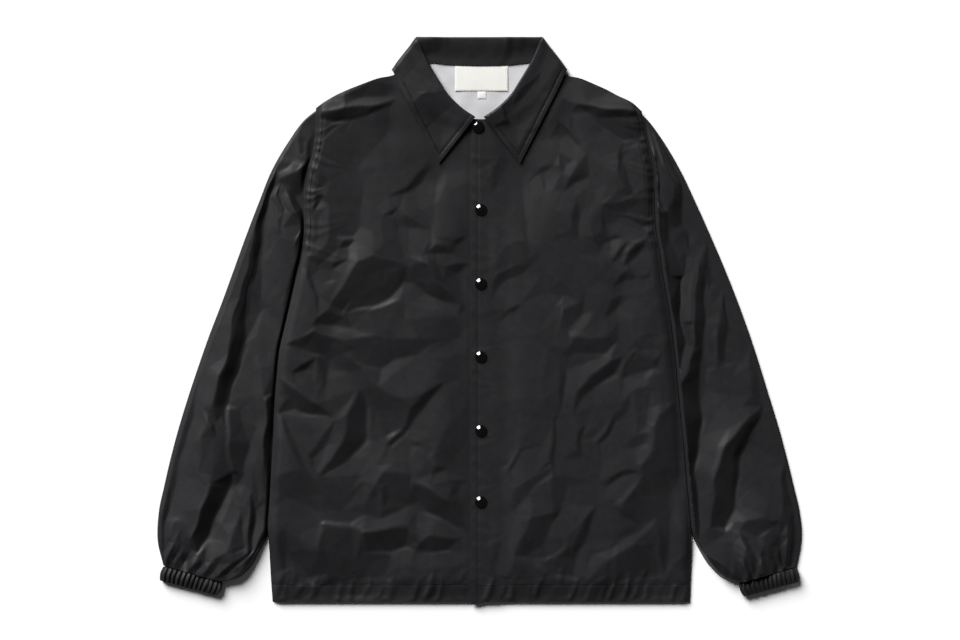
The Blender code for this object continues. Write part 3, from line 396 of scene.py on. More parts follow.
LEFT_FRONT_FACETS = [
    (-3.2, [(130, 280), (157, 278), (202, 271), (213, 267), (189, 262), (153, 266), (137, 272)]),
    (-1.7, [(138, 271), (153, 266), (189, 261), (212, 265), (209, 235), (189, 233), (163, 251)]),
    (1.6, [(127, 281), (137, 283), (202, 274), (202, 272), (157, 278)]),
    (1.2, [(121, 270), (129, 279), (137, 270), (163, 249), (189, 231), (179, 218), (176, 166), (163, 179),
        (140, 218), (131, 232), (124, 251)]),
    (-2, [(103, 259), (118, 248), (129, 234), (127, 231), (110, 244)]),
    (-1.1, [(105, 288), (121, 270), (124, 251), (128, 236), (118, 250), (101, 261), (92, 264)]),
    (-1.7, [(179, 215), (184, 205), (201, 162), (189, 173), (178, 189)]),
    (-2, [(111, 167), (116, 186), (124, 200), (129, 191), (141, 190), (124, 179)]),
    (0.9, [(114, 167), (125, 179), (142, 188), (139, 173), (124, 160)]),
    (-1.9, [(69, 188), (80, 197), (95, 201), (85, 192), (84, 178), (77, 188)]),
    (0.7, [(56, 173), (69, 186), (77, 187), (83, 166), (72, 157)]),
    (-1.2, [(103, 218), (109, 202), (106, 192), (102, 202)]),
    (-1.9, [(163, 153), (213, 159), (216, 120), (189, 136), (173, 145)]),
    (1.5, [(150, 170), (161, 155), (162, 150), (147, 144), (142, 130), (140, 137), (153, 160)]),
    (0.8, [(163, 126), (176, 128), (215, 118), (218, 105), (189, 105), (183, 110), (170, 118)]),
    (-1.1, [(160, 151), (163, 127), (170, 105), (150, 101), (147, 111), (159, 118)]),
    (-2.2, [(160, 100), (170, 105), (185, 110), (176, 112), (163, 105)]),
    (1.7, [(153, 88), (170, 95), (184, 108), (176, 88), (168, 75), (166, 84)]),
    (-2.2, [(170, 75), (179, 91), (193, 104), (185, 88)]),
    (-2.3, [(184, 70), (192, 85), (202, 98), (219, 104), (205, 84), (192, 72)]),
    (-2.1, [(175, 41), (184, 58), (191, 63), (203, 54), (189, 50)]),
    (-1.9, [(163, 5), (173, 27), (188, 33), (179, 16)]),
    (-1.7, [(211, 57), (218, 63), (224, 58), (217, 54)]),
    (-1.5, [(22, 62), (46, 72), (68, 74), (56, 62), (33, 53), (22, 39), (16, 42)]),
    (-0.6, [(15, 101), (43, 105), (79, 88), (68, 75), (46, 73), (23, 65)]),
    (-0.9, [(74, 88), (105, 53), (121, 42), (111, 32), (88, 36), (80, 59)]),
    (-2.2, [(37, 15), (57, 21), (46, 11)]),
    (0.9, [(27, 0), (40, 10), (44, -12), (30, -23)]),
    (1.5, [(99, 17), (107, 20), (105, -6), (100, -3)]),
    (-1.3, [(109, 14), (134, 27), (141, 43), (133, 10), (114, -12)]),
    (-1, [(56, 121), (73, 95), (78, 88), (64, 101)]),
    (0.8, [(9, 98), (27, 105), (32, 95), (20, 78)]),
    (-0.7, [(9, 189), (27, 215), (21, 176), (9, 162)]),
    (0.8, [(131, 131), (140, 150), (145, 131), (137, 111)]),
    (-1, [(122, 144), (128, 157), (132, 137), (127, 105), (121, 118)]),
    (0.7, [(192, 27), (209, 30), (215, 4), (199, 1)]),
    (0.8, [(218, 101), (226, 85), (227, 46), (218, 66)]),
    (-1.5, [(114, -36), (121, -23), (163, -20), (176, -27), (163, -42), (124, -42), (119, -47)]),
    (2, [(114, -20), (121, -12), (131, -16), (124, -24)]),
    (1.5, [(114, -64), (137, -55), (160, -45), (178, -27), (171, -48), (150, -68), (127, -90), (119, -119),
        (114, -103)]),
    (-2.1, [(172, -49), (188, -45), (176, -68), (150, -84), (137, -94), (120, -120), (128, -91),
        (151, -68)]),
    (-2.3, [(183, -75), (189, -61), (201, -40), (202, -45)]),
    (-1.5, [(202, -40), (229, -62), (189, -75), (185, -74), (203, -46)]),
    (-1.3, [(102, -124), (105, -90), (113, -67), (111, -97)]),
    (1.6, [(209, -43), (228, -37), (235, -42), (225, -52)]),
    (1.3, [(215, -25), (235, -19), (242, -25), (229, -35)]),
    (2.2, [(213, -78), (222, -63), (229, -62), (225, -72)]),
    (1.4, [(221, -93), (235, -92), (231, -104)]),
    (-1, [(199, -25), (215, -20), (227, -36), (209, -42), (202, -36)]),
    (-0.9, [(202, -91), (218, -87), (223, -98), (220, -113), (215, -136), (206, -146), (202, -136)]),
    (2, [(220, -136), (224, -113), (235, -107), (233, -120), (227, -132)]),
    (1.6, [(202, -166), (215, -162), (220, -146), (228, -145), (223, -168), (210, -190), (205, -188)]),
    (-1.6, [(202, -164), (205, -149), (212, -146), (215, -161)]),
    (1.2, [(151, -154), (158, -139), (174, -119), (163, -142)]),
    (-2, [(153, -157), (164, -143), (175, -120), (173, -136), (165, -150), (157, -158)]),
    (-1.1, [(145, -151), (140, -142), (150, -136), (150, -148)]),
    (-1.4, [(180, -117), (186, -106), (193, -113), (188, -122)]),
    (-1.5, [(128, -166), (129, -142), (136, -134), (132, -155), (134, -176)]),
    (-1.3, [(95, -129), (98, -129), (99, -188), (97, -214), (94, -188)]),
    (1, [(28, -191), (39, -183), (43, -163), (51, -165), (40, -191), (41, -214), (40, -234), (33, -233),
        (30, -214)]),
    (-2, [(40, -193), (52, -166), (53, -169), (44, -192)]),
    (-2.1, [(75, -198), (91, -184), (93, -188), (80, -195)]),
    (-0.8, [(45, -217), (74, -201), (92, -191), (92, -201), (69, -217), (53, -233), (44, -246)]),
    (1.1, [(66, -228), (94, -250), (66, -255), (46, -301), (36, -306), (43, -266), (53, -240)]),
    (-1.9, [(66, -256), (95, -251), (95, -263), (85, -292), (93, -306), (66, -311), (48, -302)]),
    (-1.6, [(105, -292), (114, -282), (124, -292), (122, -331), (95, -332), (85, -316), (94, -307),
        (113, -297)]),
    (1.2, [(48, -305), (66, -307), (85, -318), (95, -333), (72, -323)]),
    (1.6, [(94, -306), (115, -283), (113, -296), (101, -307)]),
    (-1.7, [(93, -207), (108, -201), (112, -217), (105, -246), (95, -250)]),
    (1.2, [(104, -241), (108, -237), (123, -239)]),
    (-1.8, [(137, -256), (151, -239), (138, -289), (121, -309), (124, -292)]),
    (0.5, [(151, -240), (170, -240), (176, -285), (163, -294), (139, -298), (138, -289)]),
    (1.7, [(137, -318), (147, -302), (170, -298), (202, -278), (229, -254), (222, -269), (202, -292),
        (170, -310), (157, -318), (147, -328)]),
    (-1.4, [(224, -136), (235, -120), (257, -103), (267, -198), (248, -227), (246, -298), (240, -331),
        (236, -292), (228, -259), (202, -264), (183, -243), (170, -240), (189, -231), (213, -204),
        (211, -192), (227, -168)]),
    (-1.4, [(157, -331), (170, -311), (203, -292), (229, -292), (232, -331), (215, -335), (170, -338)]),
    (0.9, [(162, -230), (163, -217), (183, -202), (202, -200), (213, -202), (210, -209), (198, -213),
        (179, -233)]),
    (2.2, [(178, -234), (198, -214), (201, -217), (184, -239)]),
    (-2, [(162, -214), (170, -201), (189, -194), (213, -197), (202, -199), (183, -201)]),
    (1.3, [(184, -254), (202, -265), (206, -275), (192, -266)]),
    (1.3, [(267, -199), (247, -230), (248, -311), (254, -318), (271, -299), (272, -259)]),
    (1.5, [(124, -309), (132, -301), (136, -315), (132, -335), (127, -338)]),
    (1.6, [(228, -294), (236, -302), (235, -331), (232, -328)]),
    (1, [(21, -318), (32, -286), (36, -306), (44, -318), (36, -332), (27, -328)]),
    (-1.2, [(9, -292), (30, -289), (21, -318), (23, -331), (9, -334)]),
    (-1.2, [(40, -331), (46, -308), (69, -326), (66, -336), (40, -337)]),
    (0.6, [(27, -25), (59, -22), (88, -35), (82, -103), (36, -103)]),
]

COLLAR_FACETS = [
    (-1.3, [(-88, 298), (-60, 296), (-33, 264), (-45, 248), (-62, 252)]),
    (0.6, [(-104, 312), (-88, 326), (-70, 300), (-86, 286)]),
    (-1, [(-74, 250), (-66, 258), (-50, 236), (-56, 224)]),
    (-1.9, [(27, 285), (36, 270), (41, 257), (33, 262)]),
    (-1.1, [(81, 322), (62, 290), (40, 282), (50, 298)]),
    (0.5, [(92, 300), (72, 268), (52, 262), (62, 290)]),
    (-0.8, [(58, 214), (70, 240), (62, 246), (52, 226)]),
    (-2, [(-60, 366), (-46, 366), (-43, 342), (-52, 342)]),
    (-1, [(-76, 362), (-62, 366), (-58, 344), (-70, 346)]),
    (0.5, [(-38, 364), (-8, 364), (-12, 348), (-36, 346)]),
    (-2.6, [(37, 366), (43, 366), (47, 342), (41, 342)]),
    (-1.8, [(52, 366), (60, 366), (65, 344), (57, 344)]),
    (0.5, [(8, 362), (32, 364), (34, 348), (12, 346)]),
]


def smooth(low, high, x):
    """Smooth step t * t * (3 - 2 t), with t running from 0 at low to 1 at high."""
    t = np.clip((np.asarray(x, float) - low) / (high - low), 0.0, 1.0)
    return t * t * (3.0 - 2.0 * t)


def curve(table, at):
    """Values of a table between its stations, on cubic pieces with the mean slope at each station.

    With t from 0 to 1 on a piece, p = h00 p0 + h10 m0 + h01 p1 + h11 m1.
    """
    table = np.asarray(table, float)
    stations, values = table[:, 0], table[:, 1:]
    slopes = np.gradient(values, stations, axis=0)
    at = np.clip(np.asarray(at, float), stations[0], stations[-1])
    k = np.clip(np.searchsorted(stations, at, side="right") - 1, 0, len(stations) - 2)
    span = (stations[k + 1] - stations[k])[..., None]
    t = (at[..., None] - stations[k][..., None]) / span
    return (
        (1 + 2 * t) * (1 - t) ** 2 * values[k] + t * (1 - t) ** 2 * span * slopes[k]
        + t * t * (3 - 2 * t) * values[k + 1] - t * t * (1 - t) * span * slopes[k + 1]
    )


def along(points, share):
    """Points at shares, 0 to 1, of the length of a smooth line through the given points."""
    points = np.asarray(points, float)
    run = np.concatenate([[0.0], np.cumsum(np.linalg.norm(np.diff(points, axis=0), axis=1))])
    return curve(np.column_stack([run / run[-1], points]), share)


def side_edge(side, y):
    """X of the body's side edge at height y."""
    return curve(SIDE_EDGES, y)[..., 0 if side < 0 else 1]


def inside_edge(x, y):
    """Distance from the nearer side edge, positive inside the body."""
    return np.minimum(x - side_edge(-1, y), side_edge(1, y) - x)


def outside_collar(x, y):
    """Distance outside the two straight edges of the collar's fall, which meet at its point."""
    across = np.abs(x) - COLLAR_POINT[0]
    up = y - COLLAR_POINT[1]
    beside = (across * LONG_EDGE[1] - up * LONG_EDGE[0]) / math.hypot(*LONG_EDGE)
    below = -(up * FRONT_EDGE[0] + across * FRONT_EDGE[1]) / math.hypot(*FRONT_EDGE)
    return np.maximum(beside, below)


def wander(x, y):
    """Moves places by up to about 2.5 mm on slow waves, so that no crease runs dead straight."""
    dx = 1.5 * np.sin(y / 17.0 + 0.6 * np.sin(x / 31.0)) + 0.8 * np.sin(y / 7.3 + x / 13.0)
    dy = 1.5 * np.sin(x / 19.0 + 0.7 * np.sin(y / 27.0)) + 0.8 * np.sin(x / 8.1 - y / 11.0)
    return x + dx, y + dy


def distance_to_lines(places, lines):
    """Least distance from each place to any straight piece of the given lines."""
    best = np.full(len(places), 1e9)
    for line in lines:
        start, step = line[:-1], np.diff(line, axis=0)
        away = places[:, None] - start
        t = np.clip((away * step).sum(-1) / (step * step).sum(-1), 0, 1)
        best = np.minimum(best, np.linalg.norm(away - t[..., None] * step, axis=-1).min(axis=1))
    return best


def crease_facets(creases):
    """The two slopes of each crease as facets with their gradient.

    A crease runs straight, is highest at its middle and tapers to its ends; there it falls to zero one
    width away on either side, so its gradient is height / width across it, towards it for a ridge.
    """
    facets = []
    for begin, finish, height, left, right in creases:
        middle = (begin + finish) / 2
        ahead = (finish - begin) / np.linalg.norm(finish - begin)
        across = np.array([-ahead[1], ahead[0]])
        gain = min(CREASE_GAIN, STEEPEST * min(left, right) / abs(height))
        for sign, width in ((1, left), (-1, right)):
            foot = middle + sign * width * across
            slope = -sign * gain * height / width * across
            facets.append((slope, np.array([begin, middle, foot])))
            facets.append((slope, np.array([middle, finish, foot])))
    return facets


def lean_direction(corners):
    """Direction in which a facet leans so that it looks as bright as if it leaned to the key light.

    A compact facet leans along the light's bearing L. A long narrow one can only lean across its length,
    along n, and does so more steeply by 1 / (n . L), up to 1.6 times.
    """
    sides = np.roll(corners, -1, axis=0) - corners
    middles = corners + sides / 2
    weights = np.linalg.norm(sides, axis=1)
    centre = np.average(middles, axis=0, weights=weights)
    spread = np.cov((middles - centre).T, aweights=weights)
    sizes, axes = np.linalg.eigh(spread)
    narrow = smooth(1.7, 3.2, math.sqrt(sizes[1] / max(sizes[0], 1e-6)))
    across = axes[:, 0] * math.copysign(1.0, axes[:, 0] @ LIGHT_BEARING)
    facing = max(across @ LIGHT_BEARING, 0.35)
    steeper = min(1 / facing, 1.6)
    return (1 - narrow) * LIGHT_BEARING + narrow * steeper * across


def toned_facets(table, gain=1.0):
    """Facets that turn to the key light or away from it by their tilt, with those that turn away made
    steeper than those that turn to it."""
    facets = []
    for tilt, places in table:
        corners = np.array(places, float)
        steepness = 0.1 * tilt * gain * (SHADY_GAIN if tilt < 0 else BRIGHT_GAIN)
        facets.append((-steepness * lean_direction(corners), corners))
    return facets


def within(places, corners):
    """Which places lie inside a polygon: an odd number of its sides is crossed on the way to +X."""
    x, y = places[:, :1], places[:, 1:]
    ax, ay = corners.T
    bx, by = np.roll(corners, -1, axis=0).T
    spans = (ay > y) != (by > y)
    with np.errstate(divide="ignore", invalid="ignore"):
        crossing = ax + (y - ay) * (bx - ax) / (by - ay)
    return (spans & (x < crossing)).sum(axis=1) % 2 == 1


def fold_plan(facets, seed, x_range, y_range, spacing=30.0, play=0.035, reach=REACH):
    """Plan of flat facets with the heights of their corners.

    The facets' sides are kept as edges of a triangulation, and seeded points fill the rest. The heights z
    make the sum of area * |gradient(z) - wanted gradient|^2 + area * (z / reach)^2 least, where the
    cloth between the facets wants small seeded slopes.
    """
    draw = np.random.default_rng(seed)
    places, edges, lines = [], [], []
    for _, corners in facets:
        first = len(places)
        places.extend(corners)
        edges.extend((first + k, first + (k + 1) % len(corners)) for k in range(len(corners)))
        lines.append(np.vstack([corners, corners[:1]]))
    columns = np.arange(x_range[0] - 20, x_range[1] + 20, spacing)
    rows = np.arange(y_range[0] - 20, y_range[1] + 20, spacing)
    filler = np.stack(np.meshgrid(columns, rows), -1).reshape(-1, 2)
    filler = filler + draw.uniform(-0.42, 0.42, filler.shape) * spacing
    clear = distance_to_lines(filler, lines) > 0.3 * spacing
    places.extend(filler[clear])
    corners, _, faces, _, _, _ = delaunay_2d_cdt([Vector(p) for p in places], edges, [], 0, 0.6, False)
    corners, faces = np.array([tuple(c) for c in corners]), np.array(faces)
    a, b, c = (corners[faces[:, k]] for k in range(3))
    area = ((b - a)[:, 0] * (c - a)[:, 1] - (c - a)[:, 0] * (b - a)[:, 1]) / 2
    solid = np.abs(area) > 0.05
    faces, a, b, c, area = faces[solid], a[solid], b[solid], c[solid], area[solid]
    middle = (a + b + c) / 3
    wanted = draw.normal(0, play, (len(faces), 2))
    trust = np.full(len(faces), 0.5)
    for gradient, polygon in facets:
        hit = within(middle, polygon)
        wanted[hit] = gradient
        trust[hit] = 1.0
    weight = trust * np.sqrt(np.abs(area))
    slopes = [
        np.column_stack([(p - q)[:, 1], -(p - q)[:, 0]]) / (2 * area)[:, None]
        for p, q in ((b, c), (c, a), (a, b))
    ]
    count, total = len(corners), len(faces)
    system = np.zeros((2 * total + count, count))
    target = np.zeros(2 * total + count)
    for axis in (0, 1):
        index = np.arange(total) + axis * total
        for k in range(3):
            system[index, faces[:, k]] = weight * slopes[k][:, axis]
        target[index] = weight * wanted[:, axis]
    share = np.zeros(count)
    np.add.at(share, faces.ravel(), np.repeat(np.abs(area) / 3, 3))
    system[2 * total + np.arange(count), np.arange(count)] = np.sqrt(share) / reach + 1e-4
    levels = np.linalg.solve(system.T @ system, system.T @ target)
    return corners, levels, faces


def fold_heights(x, y, plan):
    """Height at places x, y on the flat facets of a plan: a a1 + b b1 + c c1 in each triangle's shares."""
    corners, levels, faces = plan
    total = np.zeros(x.shape)
    x, y = wander(x, y)
    flat_x, flat_y, flat = x.ravel(), y.ravel(), total.ravel()
    order = np.argsort(flat_y)
    sorted_y = flat_y[order]
    for a, b, c in faces:
        (ax, ay), (bx, by), (cx, cy) = corners[a], corners[b], corners[c]
        low, high = np.searchsorted(sorted_y, [min(ay, by, cy), max(ay, by, cy)])
        inside = order[low:high]
        inside = inside[(flat_x[inside] >= min(ax, bx, cx)) & (flat_x[inside] <= max(ax, bx, cx))]
        area = (bx - ax) * (cy - ay) - (cx - ax) * (by - ay)
        if abs(area) < 1e-6 or len(inside) == 0:
            continue
        px, py = flat_x[inside], flat_y[inside]
        share_b = ((px - ax) * (cy - ay) - (cx - ax) * (py - ay)) / area
        share_c = ((bx - ax) * (py - ay) - (px - ax) * (by - ay)) / area
        share_a = 1 - share_b - share_c
        hit = (share_a >= -1e-6) & (share_b >= -1e-6) & (share_c >= -1e-6)
        flat[inside[hit]] = (share_a * levels[a] + share_b * levels[b] + share_c * levels[c])[hit]
    return flat.reshape(x.shape)


def small_creases(seed, count, x_range, y_range, lengths, heights):
    """Seeded straight creases, most of them slanting, for a cloth that little is seen of."""
    draw = np.random.default_rng(seed)
    creases = []
    for _ in range(count):
        place = np.array([draw.uniform(*x_range), draw.uniform(*y_range)])
        angle = draw.normal(0.7, 0.8) * draw.choice([-1.0, 1.0])
        size = draw.uniform(*lengths)
        half = size / 2 * np.array([math.cos(angle), math.sin(angle)])
        height = draw.uniform(*heights) * draw.choice([-1.0, 1.0])
        widths = draw.uniform(0.3, 0.8, 2) * size + 2.5
        creases.append((place - half, place + half, height, *widths))
    return creases


def back_ground(x, y):
    """Underside of the back: flat, lifted over the sleeves' margins and the fall of the collar."""
    margin = 1.0 - smooth(20, 70, inside_edge(x, y))
    beside_sleeve = smooth(-330, -262, y) * (1.0 - smooth(105, 170, y))
    over_fall = smooth(240, 285, y) * (1.0 - smooth(125, 165, np.abs(x)))
    return SLEEVE_LIFT * margin * beside_sleeve + COLLAR_LIFT * over_fall


def front_ground(x, y):
    """Underside of the lower front where it lies closest on what is below it."""
    margin = 1.0 - smooth(20, 70, inside_edge(x, y))
    over_sleeve_end = ARMHOLE_LIFT * margin * smooth(105, 170, y) * (1.0 - smooth(282, 300, y))
    over_lining = smooth(190, 232, y) * (1.0 - smooth(92, 125, np.abs(x)))
    return back_ground(x, y) + WALL + GAP + over_sleeve_end + (LINING_WALL + GAP) * over_lining


def pucker_facets(seed, line, below, above, pitch, lean, tilt, bare):
    """Run of small facets across a seam, which turn forwards and back along it by turns.

    Each one is about a pitch wide, reaches some way to both sides of the seam with its far end shifted
    along it, and a share of them is left out, so that the gathers come in patches.
    """
    draw = np.random.default_rng(seed)
    total = np.linalg.norm(np.diff(np.asarray(line, float), axis=0), axis=1).sum()
    facets, at, sign = [], 0.0, 1.0
    while at < total - 2 * pitch:
        width = pitch * draw.uniform(0.5, 1.6)
        near, far = along(line, np.array([at, at + width]) / total)
        ahead = (far - near) / np.linalg.norm(far - near)
        across = np.array([-ahead[1], ahead[0]])
        low, high = below * draw.uniform(0.6, 1.0), above * draw.uniform(0.35, 1.0)
        shift = lean * draw.uniform(0.3, 1.4) * ahead
        low_side = [near - low * across, far - low * across]
        high_side = [far + high * across + shift, near + high * across + shift]
        corners = np.array(low_side + high_side)
        if draw.uniform() > bare:
            facets.append((sign * tilt * draw.uniform(0.4, 1.4) * ahead, corners))
        sign = -sign
        at += width
    return facets


def seam_plan(side, seed):
    """Puckers of a front's seams: in the hem channel and above its stitches, beside the armhole, and
    along the placket's edge."""
    edge = side * 275.0
    hem = [(min(edge, 0), HEM_STITCH_Y - 1.5), (max(edge, 0), HEM_STITCH_Y - 1.5)]
    armhole = [(side_edge(side, y) - side * 5.6, y) for y in np.linspace(92, 270, 12)]
    facets = pucker_facets(seed, hem, 21.0, 4.0, 7.0, 7.0, 0.55, 0.2)
    facets += pucker_facets(seed + 1, hem, -3.0, 22.0, 8.5, 8.0, 0.34, 0.3)
    facets += pucker_facets(seed + 2, armhole, 4.8, 4.8, 6.0, 2.0, 0.85, 0.05)
    if side > 0:
        placket = [(PLACKET_STITCH_X, y) for y in np.linspace(-362, 240, 12)]
        facets += pucker_facets(seed + 3, placket, 5.0, 6.5, 8.0, 3.0, 0.22, 0.3)
    ranges = ((-300, 0), (-380, 290)) if side < 0 else ((-12, 300), (-380, 290))
    return fold_plan(facets, seed + 4, *ranges, spacing=55.0, play=0.0, reach=7.0)


def stitch_grooves(side, x, y):
    """Channels that the topstitching pulls into a front, exp(-(distance / width)^2) deep beside it."""
    hem = 0.55 * np.exp(-((y - HEM_STITCH_Y) / 1.9) ** 2)
    edge = inside_edge(x, y)
    first, second = ARM_GROOVES
    arm = 0.35 * np.exp(-((edge - first) / 1.5) ** 2) + 0.315 * np.exp(-((edge - second) / 1.6) ** 2)
    arm = arm * smooth(80, 94, y) * (1 - smooth(262, 274, y))
    placket = 0.35 * np.exp(-((x - PLACKET_STITCH_X) / 1.5) ** 2) * (side > 0)
    placket = placket + 0.7 * np.exp(-((x - PLACKET_EDGE_X + 1.6) / 1.5) ** 2) * (side < 0)
    return hem + arm + placket


def edge_roll(x, y):
    """Rise of the cloth just inside the side seams: air keeps it off the layer below."""
    edge = inside_edge(x, y)
    shoulder = 1 - smooth(262, 292, y)
    return 2.0 * smooth(-1, 8, edge) * shoulder


def front_surface(side, x, y):
    """Top of a front: its lowest place, the rise of air under it, the facets and the seams' puckers.

    The rise and the facets fade out at the edges and under the collar; sqrt(h * h + 0.5) keeps their sum
    h above zero without a kink.
    """
    edge = inside_edge(x, y)
    free = smooth(0, 9, edge) * smooth(HEM_Y - 1, HEM_Y + 10, y)
    collar = smooth(0, 14, outside_collar(x, y))
    far_collar = smooth(0, 75, outside_collar(x, y))
    # the placket lies flatter than the rest, and so does the under front beneath it
    middle = smooth(9, 24, np.abs(x))
    rise = (2.4 * smooth(0, 14, edge) + 2.6 * smooth(8, 95, edge)) * smooth(HEM_Y - 2, HEM_Y + 34, y)
    rise = rise * (0.3 + 0.7 * smooth(12, 60, np.abs(x))) + edge_roll(x, y)
    folds = fold_heights(x, y, RIGHT_FRONT_ALL if side < 0 else LEFT_FRONT_ALL)
    folds = folds * free * (0.2 + 0.8 * middle)
    relief = rise * far_collar + folds * collar
    relief = (relief + np.sqrt(relief * relief + 0.5)) / 2 - 0.1
    seams = fold_heights(x, y, RIGHT_SEAMS if side < 0 else LEFT_SEAMS)
    seams = seams * smooth(0, 3, edge) * smooth(HEM_Y - 1, HEM_Y + 4, y)
    seams = (seams - stitch_grooves(side, x, y)) * collar
    top = front_ground(x, y) + NYLON + np.maximum(relief, 0.1) + np.maximum(seams + 0.3, 0.0)
    if side > 0:
        top = top + (WALL + GAP) * (1.0 - smooth(14, 40, x))
    return top


def grid_quads(rows, columns, closed=False):
    """Corner numbers of the faces of a grid, counted row by row; a closed grid joins its last column."""
    count = columns if closed else columns - 1
    i, j = np.meshgrid(np.arange(rows - 1), np.arange(count), indexing="ij")
    k = (j + 1) % columns
    quads = np.stack([i * columns + j, i * columns + k, (i + 1) * columns + k, (i + 1) * columns + j], -1)
    return quads.reshape(-1, 4)


def cloth_mesh(name, points, quads, uv=None):
    """Mesh object from places in millimetres and faces, with its flat cloth places as a UV map."""
    mesh = bpy.data.meshes.new(name)
    places = points.reshape(-1, 3) * MM
    mesh.vertices.add(len(places))
    mesh.vertices.foreach_set("co", places.ravel())
    mesh.loops.add(quads.size)
    mesh.loops.foreach_set("vertex_index", quads.ravel())
    mesh.polygons.add(len(quads))
    mesh.polygons.foreach_set("loop_start", np.arange(len(quads)) * quads.shape[1])
    mesh.update(calc_edges=True)
    if uv is not None:
        layer = mesh.uv_layers.new(name="cloth")
        layer.data.foreach_set("uv", uv.reshape(-1, 2)[quads.ravel()].ravel())
    mesh.polygons.foreach_set("use_smooth", np.ones(len(quads), bool))
    mesh.validate()
    piece = bpy.data.objects.new(name, mesh)
    bpy.context.scene.collection.objects.link(piece)
    return piece


def thicken(piece, thickness, offset=-1.0):
    """Cloth thickness, measured inwards from the surface that shows, with its cut edges kept crisp."""
    wall = piece.modifiers.new("cloth", 'SOLIDIFY')
    wall.thickness = thickness * MM
    wall.offset = offset
    graph = bpy.context.evaluated_depsgraph_get()
    shell = bpy.data.meshes.new_from_object(
        piece.evaluated_get(graph), preserve_all_data_layers=True, depsgraph=graph)
    shell.name = piece.name
    piece.modifiers.clear()
    piece.data = shell
    shell.set_sharp_from_angle(angle=math.radians(CUT_EDGE))
    return piece


def flat_uv(points):
    """Flat places of a cloth grid in metres: the run along its middle row and its middle column."""
    rows, columns = points.shape[:2]
    across = np.linalg.norm(np.diff(points[rows // 2], axis=0), axis=1)
    upward = np.linalg.norm(np.diff(points[:, columns // 2], axis=0), axis=1)
    u = np.concatenate([[0.0], np.cumsum(across)]) * MM
    v = np.concatenate([[0.0], np.cumsum(upward)]) * MM
    return np.stack(np.meshgrid(u, v), -1)


def coons(right, left, low, high, u, v):
    """Panel between four edges: (1-u) A(v) + u B(v) + (1-v) C(u) + v D(u) less the blend of the corners."""
    u, v = u[None, :, None], v[:, None, None]
    corners = (1 - u) * ((1 - v) * right[0] + v * right[-1]) + u * ((1 - v) * left[0] + v * left[-1])
    sides = (1 - u) * right[:, None] + u * left[:, None]
    return sides + (1 - v) * low[None] + v * high[None] - corners


def upright(grid):
    """Grid with its columns turned round where its faces would look down."""
    a, b = grid[0, 1] - grid[0, 0], grid[1, 0] - grid[0, 0]
    return grid if a[0] * b[1] - a[1] * b[0] > 0 else grid[:, ::-1]


def side_points(side, v):
    """Points of a side edge at shares of the way from hem to shoulder tip."""
    tip = SIDE_EDGES[-1][0] if side < 0 else SIDE_EDGES[-1][0] - 4.0
    y = HEM_Y + v * (tip - HEM_Y)
    return np.stack([side_edge(side, y), y], -1)


def shoulder_points(side, tip, neck_point):
    """Shoulder line from its tip to a neck point."""
    column = 0 if side < 0 else 1
    return [tuple(tip)] + [(side * row[column], row[2]) for row in SHOULDERS[1:]] + [neck_point]


def front_piece(name, side, centre_x, tip_drop):
    """One front as a Coons panel from its side seam to its free edge, raised to its surface."""
    columns, rows, share = 128, 306, 0.56
    below_shoulder = np.linspace(0, share, int(columns * share))[:-1]
    u = np.concatenate([below_shoulder, np.linspace(share, 1, int(columns * (1 - share)))])
    v = np.linspace(0, 1, rows)
    seam = side_points(side, v)
    shoulder = shoulder_points(side, seam[-1], (side * NECKLINE[0][0], NECKLINE[0][1]))
    neck = [(side * x, y) for x, y in NECKLINE] + [(centre_x, CENTRE_NECK_Y)]
    high = np.concatenate([
        along(shoulder, u[u < share - 1e-6] / share),
        along(neck, (u[u >= share - 1e-6] - share) / (1 - share)),
    ])
    low = np.stack([seam[0, 0] + u * (centre_x - seam[0, 0]), HEM_Y - tip_drop * smooth(0.93, 1, u)], -1)
    free = np.stack([np.full(rows, centre_x), low[-1, 1] + v * (CENTRE_NECK_Y - low[-1, 1])], -1)
    plan = upright(coons(seam, free, low, high, u, v))
    x, y = plan[..., 0], plan[..., 1]
    points = np.stack([x, y, front_surface(side, x, y)], -1)
    piece = cloth_mesh(name, points, grid_quads(*points.shape[:2]), flat_uv(points))
    return thicken(piece, NYLON)


def back_side(side, v):
    """Side of the back: along the sleeve's end above the underarm, along the body's edge below it."""
    edge = side_points(side, v)
    sleeve = RIGHT_SLEEVE if side < 0 else LEFT_SLEEVE
    top_x, top_y, low_x, low_y = sleeve[0][:4]
    beside_end = np.interp(edge[:, 1], [low_y, top_y], [low_x, top_x]) - side * 0.7
    x = edge[:, 0] + (beside_end - edge[:, 0]) * smooth(90, 92, edge[:, 1])
    return np.stack([x, edge[:, 1]], -1)


